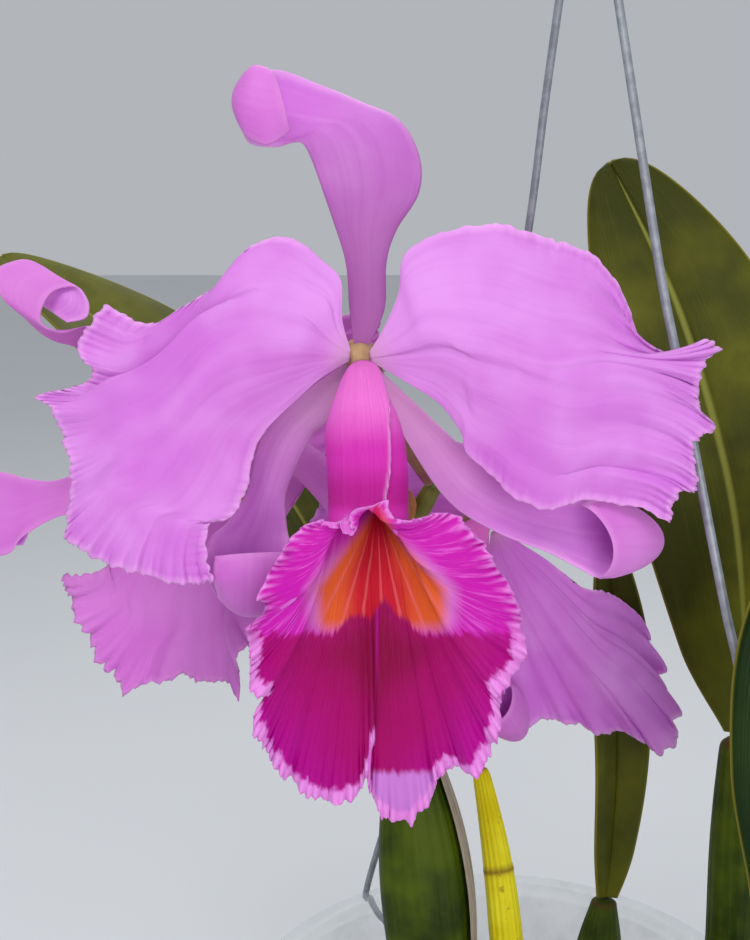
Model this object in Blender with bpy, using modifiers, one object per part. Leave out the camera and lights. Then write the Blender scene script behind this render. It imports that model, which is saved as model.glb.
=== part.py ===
import math

import bmesh
import bpy
from mathutils import Matrix, Vector, noise

# All sizes below are millimetres. The pot stands on z = 0 with its centre on the origin.
# Local frame of a bloom: x to its right as it is looked at, z up, y away from the looker.
MM = 0.001
OBJECT_NAME = "potted_christmas_orchid"
GAP = 0.35

POT_HEIGHT = 140.0
POT_BASE_R = 58.0
POT_WALL_R = 80.0
POT_RIM_R = 85.0
POT_WALL = 1.4
POT_FLOOR = 2.2
POT_SIDES = 32
RIM_DEPTH = 5.0
DRAIN_R = 4.0
DRAIN_RING_R = 36.0
DRAIN_COUNT = 6

MEDIUM_TOP = 118.0
MEDIUM_CHIP = 9.0
MEDIUM_RELIEF = 3.5

RHIZOME = ((46, -20, 116.5), (37, -2, 117), (18, 1, 117), (4, 0, 116.5), (-10, 2, 117), (-25, 8, 116))
RHIZOME_R = 4.6
SHEATH_FROM = 0.35
SHEATH_TO = 0.93
SHEATH_OFF = 1.25
SHEATH_TURN = (-35.0, 75.0)

BLADE = 0.7
LEAF_BLADE = 1.8
WIRE_R = 1.2
WIRE_HOLE_R = 1.9
WIRE_HOLE_Z = 131.0
WIRE_FOOT_TURNS = (math.radians(120.0), math.radians(-38.0))
HANGER_TOP = Vector((13.0, 0.0, 492.0))

BLOOM_REACH = 325.0
RECEPTACLE_R = 4.45
BASE_R = 4.9
STALK = ((-32.5, -15.5, 240.3), (-32.9, -13, 245), (-34, 0, 260), (-34, 8, 280), (-30, 5, 298), (-25, -6, 312))

# Each bloom: its centre, the way it looks, the way its ovary comes, and how its pieces lie.
# A piece that is named there has the way it points, the way its face looks and its size.
BLOOMS = {
    "front": {
        "centre": (-45.7, -48.0, 354.0), "looks": (0.0, -0.9925, 0.1219), "detail": 1.0,
        "ovary": ((-26.4, -8.1, 312.9), (-36, -22, 331), (-43, -34, 347)),
        "pieces": {},
        "shapes": {},
    },
    "right": {
        "centre": (-9.0, 12.0, 298.0), "looks": (0.1, -1.0, 0.0), "detail": 0.7,
        "ovary": ((-31.4, 10.5, 283), (-22, 24, 285), (-12, 27, 293)),
        "pieces": {
            "petal_left": ((-0.95, 0.15, 0.16), (0.0, -1.0, 0.1), 0.62),
            "sepal_dorsal": ((0.5, 0.04, 0.85), (0.0, -1.0, 0.2), 0.9),
            "sepal_left": ((-0.52, 0.05, -0.86), (0.0, -1.0, 0.0), 0.6),
            "sepal_right": ((0.1, -0.22, -0.97), (0.1, -1.0, 0.0), 0.74),
            "lip": ((-0.42, -0.3, -0.86), (-0.2, -0.93, 0.3), 0.75),
        },
        "shapes": {"petal_right": "spread_petal"},
    },
    "left": {
        "centre": (-94.5, -4.5, 332.0), "looks": (0.0, 1.0, 0.1), "detail": 0.7,
        "ovary": ((-37.0, -1.7, 263), (-58, -14, 286), (-84, -21, 318)),
        "pieces": {
            "petal_left": ((0.03, -0.05, -1.0), (0.1, 1.0, -0.05), 1.0),
            "petal_right": ((0.9, 0.24, 0.12), (-0.5, 0.8, 0.1), 0.66),
            "sepal_left": ((-0.84, 0.1, -0.5), (0.2, 1.0, -0.4), 1.12),
            "sepal_right": ((0.8, -0.2, -0.5), (0.1, 1.0, 0.0), 0.78),
            "lip": ((0.03, 0.12, -1.0), (-0.15, 1.0, 0.15), 0.7),
        },
        "shapes": {"sepal_dorsal": "rolled_sepal"},
    },
}

# Outlines of the front bloom's petals, in its own plane, from the base out.
PETAL_LEFT = {
    "upper": ((-4.8, 0.8), (-4.6, 11), (-4.6, 18.5), (-8.5, 23), (-17, 29), (-27, 27), (-35, 18),
              (-43.5, 12.5), (-52.5, 8), (-63, 13)),
    "outer": ((-37, -56.5), (-46.5, -57), (-55, -54.5), (-64, -52), (-73.5, -46), (-73.5, -41.5),
              (-72.5, -28), (-76.5, -13.5), (-81, -10), (-69.5, -7), (-66.5, -3.5), (-70, 0.5),
              (-68.5, 6), (-63, 13)),
    "lower": ((-4.7, -1.8), (-8.5, -4.5), (-14.5, -9.5), (-25, -20.5), (-28.5, -33.5),
              (-32.5, -40.5), (-37.5, -41.5), (-38.5, -49), (-37, -56.5)),
    "depth": ((-1.2, -1.2, -1.2), (-3, -7, -3), (-6, -9, -1), (-9, -5, 3), (-10, 1, 9)),
}
PETAL_RIGHT = {
    "upper": ((4.8, 0.8), (5.8, 6.5), (9.5, 15.5), (11, 25), (20, 30.5), (30, 32), (36, 32),
              (48, 28.5), (56.5, 25.5), (64, 17), (69, 5)),
    "outer": ((77.5, -41.5), (79.5, -34), (84.5, -33), (83.5, -21.5), (88.5, -17.5), (84.5, -12.5),
              (85.5, -1.5), (89.5, 2), (84.5, 4), (81.5, -1.5), (71.5, 2.5), (66.5, -0.5), (69, 5)),
    "lower": ((4.7, -1.8), (12.5, -7), (20, -12), (25.5, -19.5), (26.5, -24), (34.5, -31),
              (37, -34), (46, -38.5), (56.5, -36), (70.5, -38), (77.5, -41.5)),
    "depth": ((-1.2, -1.2, -1.2), (-3, -7, -3), (-5, -9, -4), (-4, -7, 0), (-3, 0, 5)),
}

# Sepals: pairs of edge points (x, z, y), from the base to the rolled tip.
SEPAL_DORSAL = {
    "low": ((-2.2, 4.8, 1.6), (-2.6, 11.5, 1), (-3.5, 23, 0), (-6.5, 33, 0), (-9.5, 41.5, 1),
            (-12.5, 49.5, 4), (-14.5, 52, 6), (-17, 52, 7), (-21, 51, 6), (-27, 52, 3.5),
            (-29.3, 57, -0.5), (-27.5, 53.5, -4), (-22.5, 51.5, -5.5), (-17, 55, -5)),
    "high": ((2.6, 4.8, 1.6), (6.0, 11.5, 1), (6.5, 23, 0), (9, 31, 0), (14.5, 40, 1),
             (14.5, 49, 4), (9.5, 57.5, 6.5), (0, 62, 8), (-10, 66, 8), (-20, 69.5, 5.5),
             (-27.5, 68, 0.5), (-26, 70.5, -3.5), (-22.5, 70, -5), (-20.5, 68, -5)),
    "crown": (2.5, 2.5, 2.5, 2.5, 2.5, 2.5, 1.5, -1.0, -2.6, -2.6, -2.0),
    "bulge": ((0, 0, 0), (0, 0, 0)),
}
SEPAL_LEFT = {
    "low": ((-4.4, -3.0, 2.4), (-14.5, -9.5, 2.5), (-24.5, -20.5, 3), (-28, -33, 4),
            (-33, -41, 5), (-38, -46, 4), (-39, -54, 1), (-36, -60, -3), (-37, -55.5, -7),
            (-36.5, -50, -6.5)),
    "high": ((-1.6, -5.2, 2.4), (-7.5, -15, 2.5), (-12.5, -20.5, 3), (-18.5, -33.5, 4),
             (-18.5, -42, 5), (-17.5, -48, 4), (-17, -56, 1), (-20, -62, -3), (-18.5, -55, -7),
             (-18.5, -49, -6.5)),
    "crown": (-1.5, -1.5, -1.5, -1.5, -1.5, -1.0, 1.0, 3.6, 4.4, 4.0, 2.0),
    "bulge": ((0, 0, 0), (0, 0, 0)),
}
SEPAL_RIGHT = {
    "low": ((1.6, -5.2, 2.4), (8.5, -16, 3), (21.5, -35.5, 3.5), (34.5, -44, 3.5), (47, -49, 3.5),
            (54, -52.6, 3), (58, -54.8, 2.2), (60, -55.6, 1.0), (60.8, -55.6, -1.0),
            (60.3, -55.2, -2.5)),
    "high": ((4.4, -3.0, 2.4), (20, -17.5, 3), (32, -28.5, 5), (45, -34.5, 6), (53, -35.8, 5.5),
             (57, -35.2, 5), (60, -34.8, 3.6), (60, -34.8, 1.5), (57.5, -35.8, -0.6),
             (55.4, -37, -2.2)),
    "crown": (2.5, 2.5, 2.5, 2.5, 2.5, 2.0, 1.5, 1.0, 0.0, 0.0, 0.0),
    "bulge": ((0, 0, 0), (0, 0, 0), (0, 0, 0), (0, 0, 0), (0, 0, 0), (1, 0, 1), (5, 0, 4),
              (11.5, -0.5, 7.5), (16.0, -0.8, 8.0), (13, -0.6, 1.5), (5.5, -0.3, -3.5)),
}

# Pieces of the other two blooms with a shape of their own, from their bloom's centre.
OWN_SHAPES = {
    "spread_petal": {
        "upper": ((3.9, -2.9), (10, -7), (19.4, -13), (30, -21.2), (37.3, -23.3), (41, -25.5),
                  (46.7, -30.6), (49.4, -35.5)),
        "outer": ((8.2, -66), (11.2, -67), (19.7, -64.5), (25.8, -65.5), (32.7, -67.6),
                  (36, -69.4), (43, -68.8), (50, -71.8), (56, -77), (58, -75.2), (60.6, -73.6),
                  (62.1, -69.7), (59.7, -66), (62.7, -63), (58.8, -59), (57.9, -55.5),
                  (54.5, -52.4), (57.7, -49.4), (55.6, -46.4), (51.2, -41.2), (51.8, -37.9),
                  (49.4, -35.5)),
        "lower": ((1.9, -4.65), (1, -14), (1.5, -26), (3.5, -40), (5, -54), (8.2, -66)),
        "depth": ((-1.2, -1.2, -1.2), (-3, -6, -3), (-5, -8, -4), (-4, -6, 0), (-3, -1, 3)),
    },
    "rolled_sepal": {
        "low": ((-5.2, -0.1, -1.5), (-17, 9, -1), (-29.8, 18.5, 0), (-36.9, 21.3, -3),
                (-44, 27, -4), (-50.6, 33.2, -3), (-53.4, 37.8, 0), (-51.7, 41.2, 3),
                (-45.5, 42.6, 5), (-38.4, 39.8, 3), (-36.9, 35.5, 0)),
        "high": ((-3.6, 3.9, -1.5), (-13, 15, -2), (-22.7, 24.1, -4), (-27.8, 26.4, -8),
                 (-34.1, 25, -10), (-39.2, 27, -9), (-39.8, 31, -6), (-36.4, 35.5, -3),
                 (-30.7, 36.4, -2), (-27, 32.7, -3), (-27.6, 28.4, -5)),
        "crown": (0, 0),
        "bulge": ((0, 0, 0), (0, 0, 0)),
    },
}

# The way each piece points in the outlines, as degrees from the bloom's right, turning up.
OWN_WAY = {"petal_left": 195.0, "petal_right": -4.0, "sepal_dorsal": 90.0, "sepal_left": 239.0,
           "sepal_right": -36.5, "lip": 270.0}

# The lip: stations of the tube round the column, then the frilled edge of its front lobe.
LIP_TUBE = (
    # x, z, y of the ring's centre, half width, half depth, tilt
    (0.3, -5.0, -4.3, 3.6, 3.6, 80.0),
    (0.6, -9.5, -9.0, 6.0, 5.8, 55.0),
    (1.2, -18.5, -15.5, 9.3, 7.6, 35.0),
    (2.2, -29.0, -22.0, 9.8, 7.4, 22.0),
    (2.4, -38.5, -27.5, 9.7, 6.4, 8.0),
)
LIP_SEAM = (0.5, -44.0, -36.5)
LIP_EDGE_LEFT = (
    (-5, -42, -37), (-10, -41, -36), (-15.5, -44, -34), (-20.5, -51, -33), (-24.5, -58.5, -32),
    (-24, -64.5, -32), (-28.5, -68.5, -31), (-27.5, -76, -31), (-27.5, -83.5, -30),
    (-24, -87, -30), (-27, -92, -28), (-24, -100, -25), (-17, -109, -21), (-9, -113.5, -19),
    (0, -111, -20), (3.5, -98, -24),
)
LIP_EDGE_RIGHT = (
    (7.5, -41.5, -37), (13, -41, -36), (19.5, -39.5, -34), (25.5, -40.5, -32), (31, -47, -32),
    (36, -54.5, -31), (40, -62, -31), (41.5, -70, -31), (41, -79, -30), (35.5, -85, -30),
    (36, -92, -28), (34, -101, -25), (27, -108.5, -22), (18, -113.5, -19), (10, -117, -18),
    (4.2, -98, -24),
)
LIP_FLARE_LEAVE = 0.55

# Canes (pseudobulbs): their run, their widest half width, and how high the widest place sits.
CANES = {
    "cane_flowering": {"foot": (-23, -10, 106), "bend": (-26, -19, 176), "top": (-32.5, -16, 238),
                       "wide": 13.2, "thick": 9.6, "foot_r": 6.0, "top_r": 4.8, "ribs": 7,
                       "rise": 1.5},
    "cane_old_yellow": {"foot": (4, -14, 106), "bend": (-3, -3, 182), "top": (-9, 12, 217),
                        "wide": 5.2, "thick": 4.4, "foot_r": 4.4, "top_r": 2.4, "ribs": 5,
                        "rise": 0.9},
    "cane_back": {"foot": (28, 14, 106), "bend": (31, 18, 140), "top": (33.4, 20.3, 167),
                  "wide": 8.8, "thick": 7.6, "foot_r": 5.2, "top_r": 3.4, "ribs": 6,
                  "rise": 0.9},
    "cane_right": {"foot": (63, -3, 106), "bend": (71, -4, 166), "top": (70, 1, 232),
                   "wide": 10.5, "thick": 9.0, "foot_r": 5.4, "top_r": 6.5, "ribs": 7,
                   "rise": 1.4},
    "cane_front_right": {"foot": (38, -44, 106), "bend": (47, -57, 160), "top": (58, -70, 196),
                         "wide": 9.6, "thick": 8.4, "foot_r": 5.4, "top_r": 4.2, "ribs": 6,
                         "rise": 0.9},
}
CANE_SIDES = 12
CANE_RINGS = 9

# Leaves: points along the midrib (each with the half width there) and the way the face looks.
LEAVES = {
    "leaf_flowering": {"rib": ((-37.6, -12.0, 239.4), (-49, 18, 258), (-72, 51, 296), (-118, 70, 338),
                               (-171, 85, 372)),
                       "half": (3, 14, 25, 27, 14), "face": (0.35, -0.5, 1.0), "keel": 0.30},
    "leaf_back": {"rib": ((33.6, 20.5, 167.6), (35, 22, 185), (36, 24, 215), (34, 26, 255),
                          (30, 27, 292)),
                  "half": (3.5, 7.5, 10, 10.5, 6), "face": (0.35, -1.0, 0.1), "keel": 0.55},
    "leaf_right": {"rib": ((70.2, 1.4, 233.1), (71, 8, 256), (68, 24, 303), (53, 38, 357),
                           (31, 47, 403)),
                   "half": (6, 19, 30, 29, 18), "face": (-0.1, -1.0, 0.25), "keel": 0.16},
    "leaf_front_right": {"rib": ((58.3, -70.3, 197.7), (61, -71, 215), (70, -70, 247), (80, -66, 293),
                                 (92, -60, 338)),
                         "half": (4.5, 8, 24, 31, 15), "face": (-0.2, -1.0, 0.15), "keel": 0.2},
}


def remove_everything():
    for item in list(bpy.data.objects):
        bpy.data.objects.remove(item, do_unlink=True)


def collection(name):
    made = bpy.data.collections.new(name)
    bpy.context.scene.collection.children.link(made)
    return made


def material(name, color, roughness=0.5, metallic=0.0, alpha=1.0):
    made = bpy.data.materials.new(name)
    made.use_nodes = True
    shader = made.node_tree.nodes["Principled BSDF"]
    shader.inputs["Base Color"].default_value = (*color, 1.0)
    shader.inputs["Roughness"].default_value = roughness
    shader.inputs["Metallic"].default_value = metallic
    shader.inputs["Alpha"].default_value = alpha
    return made


def link_mesh(name, mesh, finish, into):
    made = bpy.data.objects.new(name, mesh)
    if finish is not None:
        mesh.materials.append(finish)
    into.objects.link(made)
    return made


def catmull(a, b, c, d, u):
    return 0.5 * (2 * b + (c - a) * u + (2 * a - 5 * b + 4 * c - d) * u * u
                  + (3 * b - a - 3 * c + d) * u ** 3)


def on_curve(points, u):
    """The point at u, from 0 to 1, of a smooth curve through evenly counted points."""
    span = u * (len(points) - 1)
    i = min(int(span), len(points) - 2)
    near = [points[max(0, min(len(points) - 1, i + k))] for k in (-1, 0, 1, 2)]
    return catmull(*near, span - i)


def resample(points, count):
    """Points at equal steps along a smooth curve through the given ones."""
    points = [Vector(p) for p in points]
    fine = [on_curve(points, k / 200) for k in range(201)]
    run = [0.0]
    for a, b in zip(fine, fine[1:]):
        run.append(run[-1] + (b - a).length)
    out, j = [], 0
    for k in range(count + 1):
        want = run[-1] * k / count
        while j < 199 and run[j + 1] < want:
            j += 1
        step = run[j + 1] - run[j]
        out.append(fine[j].lerp(fine[j + 1], (want - run[j]) / step if step else 0.0))
    return out


def net_value(net, s, t):
    """A smooth value from a small net: its rows run along s, its columns along t."""
    return on_curve([on_curve(row, t) for row in net], s)


def coons(lower, upper, base, outer, s, t):
    """The point of a patch between four edge curves, given as lists of points."""
    low, high = on_curve(lower, s), on_curve(upper, s)
    near, far = on_curve(base, t), on_curve(outer, t)
    corners = ((1 - s) * ((1 - t) * lower[0] + t * upper[0])
               + s * ((1 - t) * lower[-1] + t * upper[-1]))
    return (1 - t) * low + t * high + (1 - s) * near + s * far - corners


def seen(x, z, y):
    """Widens a place with its depth, as the outlines were read from one viewpoint."""
    far = 1 + y / BLOOM_REACH
    return Vector((x * far, y, z * far))


def petal_grid(form, rows, across):
    lower = resample([(x, z, 0) for x, z in form["lower"]], 40)
    upper = resample([(x, z, 0) for x, z in form["upper"]], 40)
    outer = resample([(x, z, 0) for x, z in form["outer"]], 80)
    base = [lower[0], upper[0]]
    grid = []
    for i in range(rows + 1):
        s = i / rows
        line = []
        for j in range(across + 1):
            t = j / across
            flat = coons(lower, upper, base, outer, s, t)
            y = net_value(form["depth"], s, t)
            y += 1.5 * s ** 5 * math.sin(9.0 * math.tau * t + 0.7)
            y += 1.2 * s * (1 - s) * abs(2 * t - 1) ** 5 * math.sin(5.0 * math.tau * s)
            line.append(seen(flat.x, flat.y, y))
        grid.append(line)
    return grid


def sepal_grid(form, rows, across):
    low = [on_curve([Vector(p) for p in form["low"]], i / rows) for i in range(rows + 1)]
    high = [on_curve([Vector(p) for p in form["high"]], i / rows) for i in range(rows + 1)]
    bulge = [on_curve([Vector(p) for p in form["bulge"]], i / rows) for i in range(rows + 1)]
    grid = []
    for i in range(rows + 1):
        s = i / rows
        grid.append([])
        along = (low[min(i + 1, rows)] + high[min(i + 1, rows)]
                 - low[max(i - 1, 0)] - high[max(i - 1, 0)])
        face = along.cross(high[i] - low[i])
        face = face.normalized() if face.length else Vector((0, 0, 1))
        for j in range(across + 1):
            t = j / across
            arch = 1 - (2 * t - 1) ** 2
            crown = on_curve(form["crown"], s) * arch * min(1.0, 4 * s)
            p = low[i].lerp(high[i], t) + face * crown + bulge[i] * arch ** 0.7
            grid[-1].append(seen(p.x, p.y, p.z))
    return grid


def lip_ring(station, around, half):
    x, z, y, wide, deep, tilt = station
    ring = []
    for k in range(half + 1):
        a = math.pi * k / half
        out = Vector((around * wide * math.sin(a), -deep * math.cos(a), 0.0))
        out = Matrix.Rotation(-math.radians(tilt), 3, "X") @ out
        ring.append(seen(x + out.x, z + out.z, y + out.y))
    return ring


def lip_grid(half, flare_rows):
    """Rings from the column out to the frilled edge; the last column meets the first."""
    edges = {-1: (LIP_SEAM,) + LIP_EDGE_LEFT, 1: (LIP_SEAM,) + LIP_EDGE_RIGHT}
    sides = {}
    for side in (-1, 1):
        rings = [lip_ring(station, side, half) for station in LIP_TUBE]
        edge = resample([(x, z, y) for x, z, y in edges[side]], half)
        edge = [seen(p.x, p.y, p.z) for p in edge]
        mouth, before = rings[-1], rings[-2]
        for i in range(1, flare_rows + 1):
            u = i / flare_rows
            line = []
            for k in range(half + 1):
                leave = (mouth[k] - before[k]) * LIP_FLARE_LEAVE
                reach = (edge[k] - mouth[k]).length
                leave = leave.normalized() * min(reach * 0.5, 14.0)
                p = mouth[k] + leave * (3 * u * (1 - u) ** 2) * 1.6
                p += (edge[k] - mouth[k]) * (3 * u * u - 2 * u ** 3)
                ripple = u ** 4 * 1.4 * math.sin(k * 2.4) * min(1.0, reach / 20)
                p += Vector((0, -ripple, 0))
                line.append(p)
            rings.append(line)
        sides[side] = rings
    grid = []
    for left, right in zip(sides[-1], sides[1]):
        row = list(reversed(left)) + right[1:]
        row[half] = (left[0] + right[0]) / 2
        back = (left[-1] + right[-1]) / 2
        row[0] = row[-1] = back
        grid.append(row)
    return grid


def turned(grid, matrix):
    return [[matrix @ p for p in row] for row in grid]


def sheet_mesh(name, grid, closed=False):
    """A sheet of triangles through a grid of points; a closed one joins its last column."""
    columns = len(grid[0]) - (1 if closed else 0)
    made = bmesh.new()
    verts = [[made.verts.new(p * MM) for p in row[:columns]] for row in grid]
    wrap = columns if closed else columns - 1
    for i in range(len(grid) - 1):
        for j in range(wrap):
            k = (j + 1) % columns
            a, b, c, d = verts[i][j], verts[i + 1][j], verts[i + 1][k], verts[i][k]
            if (a.co - c.co).length <= (b.co - d.co).length:
                corners = ((a, b, c), (a, c, d))
            else:
                corners = ((a, b, d), (b, c, d))
            for trio in corners:
                made.faces.new(trio)
    mesh = bpy.data.meshes.new(name)
    made.to_mesh(mesh)
    made.free()
    return mesh


def blade(name, grid, thick, finish, into, closed=False):
    mesh = sheet_mesh(name, grid, closed)
    made = link_mesh(name, mesh, finish, into)
    shell = made.modifiers.new("thickness", "SOLIDIFY")
    shell.thickness = thick * MM
    shell.offset = 0.0
    return made


def tube(name, points, radii, sides, finish, into, squash=None, ribs=0, rib_depth=0.0):
    """A closed loft along points; squash is a wide way and a ratio of thickness to width."""
    points = [Vector(p) for p in points]
    made = bmesh.new()
    rings = []
    side = None
    for i, (centre, radius) in enumerate(zip(points, radii)):
        ahead = (points[min(i + 1, len(points) - 1)] - points[max(i - 1, 0)]).normalized()
        if side is None:
            side = squash[0] if squash else Vector((1, 0, 0))
            if abs(side.dot(ahead)) > 0.95:
                side = Vector((0, 1, 0))
        side = (side - ahead * side.dot(ahead)).normalized()
        up = ahead.cross(side)
        flat = squash[1] if squash else 1.0
        ring = []
        for k in range(sides):
            a = math.tau * k / sides
            r = radius * (1 + rib_depth * math.cos(ribs * a))
            ring.append(made.verts.new((centre + side * r * math.cos(a)
                                        + up * r * flat * math.sin(a)) * MM))
        rings.append(ring)
    for lower, upper in zip(rings, rings[1:]):
        for k in range(sides):
            n = (k + 1) % sides
            made.faces.new((lower[k], lower[n], upper[n], upper[k]))
    made.faces.new(list(reversed(rings[0])))
    made.faces.new(rings[-1])
    bmesh.ops.triangulate(made, faces=made.faces)
    mesh = bpy.data.meshes.new(name)
    made.to_mesh(mesh)
    made.free()
    mesh.shade_smooth()
    return link_mesh(name, mesh, finish, into)


def cut(target, cutter, cutters):
    for old in list(cutter.users_collection):
        old.objects.unlink(cutter)
    cutters.objects.link(cutter)
    cutter.hide_render = True
    cutter.display_type = "WIRE"
    knife = target.modifiers.new("cut", "BOOLEAN")
    knife.operation = "DIFFERENCE"
    knife.solver = "EXACT"
    knife.object = cutter


def rod(name, start, end, radius, sides, finish, into):
    return tube(name, [start, end], [radius, radius], sides, finish, into)


# Pot and what fills it

def pot_wall_radius(z):
    return POT_BASE_R + (POT_WALL_R - POT_BASE_R) * z / POT_HEIGHT


def add_pot(parts, cutters):
    clear = material("clear_plastic", (0.85, 0.9, 0.92), 0.12, 0.0, 0.3)
    flange = POT_HEIGHT - RIM_DEPTH
    outside = [
        (0.0, 0.0), (POT_BASE_R - 3, 0.0), (POT_BASE_R, 2.5), (pot_wall_radius(70.0), 70.0),
        (pot_wall_radius(flange), flange), (POT_RIM_R, flange + 0.6), (POT_RIM_R, POT_HEIGHT - 0.6),
        (POT_RIM_R - 0.8, POT_HEIGHT), (POT_WALL_R - POT_WALL + 0.8, POT_HEIGHT),
        (POT_WALL_R - POT_WALL, POT_HEIGHT - 1.0),
        (pot_wall_radius(flange) - POT_WALL, flange - 1.5),
        (pot_wall_radius(70.0) - POT_WALL, 70.0), (POT_BASE_R - POT_WALL, POT_FLOOR + 1.5),
        (POT_BASE_R - 4, POT_FLOOR), (0.0, POT_FLOOR),
    ]
    profile = bpy.data.meshes.new("pot")
    points = [(r * MM, 0.0, z * MM) for r, z in reversed(outside)]
    profile.from_pydata(points, [(k, k + 1) for k in range(len(points) - 1)], [])
    pot = link_mesh("pot", profile, clear, parts)
    spin = pot.modifiers.new("turning", "SCREW")
    spin.axis = "Z"
    spin.steps = POT_SIDES
    spin.render_steps = POT_SIDES
    spin.use_merge_vertices = True
    spin.merge_threshold = 0.00001
    spin.use_smooth_shade = True
    for k in range(DRAIN_COUNT):
        a = math.tau * (k + 0.5) / DRAIN_COUNT
        at = Vector((DRAIN_RING_R * math.cos(a), DRAIN_RING_R * math.sin(a), 0.0))
        hole = rod("drain_cutter_%d" % k, at + Vector((0, 0, -3)), at + Vector((0, 0, 6)),
                   DRAIN_R, 10, None, cutters)
        cut(pot, hole, cutters)
    for k, turn in enumerate(WIRE_FOOT_TURNS):
        away = Vector((math.cos(turn), math.sin(turn), 0.0))
        at = away * pot_wall_radius(WIRE_HOLE_Z) + Vector((0, 0, WIRE_HOLE_Z))
        hole = rod("wire_cutter_%d" % k, at - away * 6, at + away * 6, WIRE_HOLE_R, 10, None,
                   cutters)
        cut(pot, hole, cutters)
    return pot


def chip_height(x, y):
    """Relief of bark chips: each cell of a jittered pattern has its own height and tilt."""
    place = Vector((x / MEDIUM_CHIP, y / MEDIUM_CHIP, 3.7))
    distances, spots = noise.voronoi(place)
    tone = noise.cell(spots[0] * 7.3)
    return MEDIUM_RELIEF * (tone - 0.5) + 1.5 * min(1.0, (distances[1] - distances[0]) * 3) - 0.6


def add_medium(parts, cutters, canes):
    bark = material("bark", (0.16, 0.1, 0.06), 0.9)
    made = bmesh.new()
    sides, rings = 36, 9
    top_r = pot_wall_radius(MEDIUM_TOP) - POT_WALL - 2.0
    base_r = POT_BASE_R - POT_WALL - 2.0
    loops = []
    for i in range(1, rings + 1):
        r = top_r * i / rings
        loop = []
        for k in range(sides):
            a = math.tau * (k + 0.5 * (i % 2)) / sides
            x, y = r * math.cos(a), r * math.sin(a)
            drop = -2.0 if i == rings else 0.0
            loop.append(made.verts.new(Vector((x, y, MEDIUM_TOP + chip_height(x, y) + drop)) * MM))
        loops.append(loop)
    foot = []
    for k in range(sides):
        a = math.tau * (k + 0.5 * (rings % 2)) / sides
        foot.append(made.verts.new(Vector((base_r * math.cos(a), base_r * math.sin(a),
                                           POT_FLOOR + 2.0)) * MM))
    middle = made.verts.new(Vector((0, 0, MEDIUM_TOP)) * MM)
    for k in range(sides):
        made.faces.new((middle, loops[0][k], loops[0][(k + 1) % sides]))
    for i in range(rings - 1):
        a_ring, b_ring = loops[i], loops[i + 1]
        shift = 1 if i % 2 == 0 else 0
        for k in range(sides):
            n = (k + 1) % sides
            if shift:
                made.faces.new((a_ring[k], b_ring[k], a_ring[n]))
                made.faces.new((b_ring[k], b_ring[n], a_ring[n]))
            else:
                made.faces.new((a_ring[k], b_ring[k], b_ring[n]))
                made.faces.new((a_ring[k], b_ring[n], a_ring[n]))
    for k in range(sides):
        n = (k + 1) % sides
        made.faces.new((loops[-1][k], foot[k], foot[n], loops[-1][n]))
    made.faces.new(list(reversed(foot)))
    bmesh.ops.recalc_face_normals(made, faces=made.faces)
    bmesh.ops.triangulate(made, faces=made.faces)
    mesh = bpy.data.meshes.new("growing_medium")
    made.to_mesh(mesh)
    made.free()
    medium = link_mesh("growing_medium", mesh, bark, parts)
    for name, form in canes.items():
        foot_at = Vector(form["foot"])
        aim = (cane_points(form)[2] - foot_at).normalized()
        rise = (MEDIUM_TOP + MEDIUM_RELIEF - foot_at.z) / (form["top"][2] - foot_at.z)
        hole = rod(name + "_hole", foot_at - aim * GAP, foot_at + aim * 30.0,
                   cane_radius(form, rise) * 1.04 + 2 * GAP, 14, None, cutters)
        cut(medium, hole, cutters)
    return medium


# Canes, rhizome and leaves

def add_rhizome(parts, cutters, medium):
    """The creeping stem the canes grow from; it lies half sunk among the chips."""
    brown = material("rhizome_brown", (0.3, 0.22, 0.1), 0.7)
    path = resample(RHIZOME, 12)
    radii = [RHIZOME_R * (0.8 + 0.2 * math.cos(i * 2.1)) for i in range(13)]
    tube("rhizome", path, radii, 8, brown, parts)
    room = [r + GAP for r in radii]
    ends = [path[0] + (path[0] - path[1]).normalized() * GAP,
            path[-1] + (path[-1] - path[-2]).normalized() * GAP]
    wider = tube("rhizome_cutter", [ends[0]] + path[1:-1] + [ends[1]], room, 8, None, cutters)
    cut(medium, wider, cutters)


def cane_points(form):
    ends = [Vector(form["foot"]), Vector(form["bend"]), Vector(form["top"])]
    return resample(ends, CANE_RINGS)


def cane_radius(form, u):
    swell = max(0.0, math.sin(math.pi * u ** form["rise"])) ** 0.9
    ends = form["foot_r"] * (1 - u) + form["top_r"] * u
    return ends + (form["wide"] - ends) * swell


def add_canes(parts):
    green = material("cane_green", (0.22, 0.3, 0.06), 0.45)
    yellow = material("cane_yellow", (0.72, 0.6, 0.06), 0.5)
    for name, form in CANES.items():
        radii = [cane_radius(form, i / CANE_RINGS) for i in range(CANE_RINGS + 1)]
        finish = yellow if "yellow" in name else green
        tube(name, cane_points(form), radii, CANE_SIDES, finish, parts,
             squash=(Vector((1, 0.1, 0)), form["thick"] / form["wide"]),
             ribs=form["ribs"], rib_depth=0.03)


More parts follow.
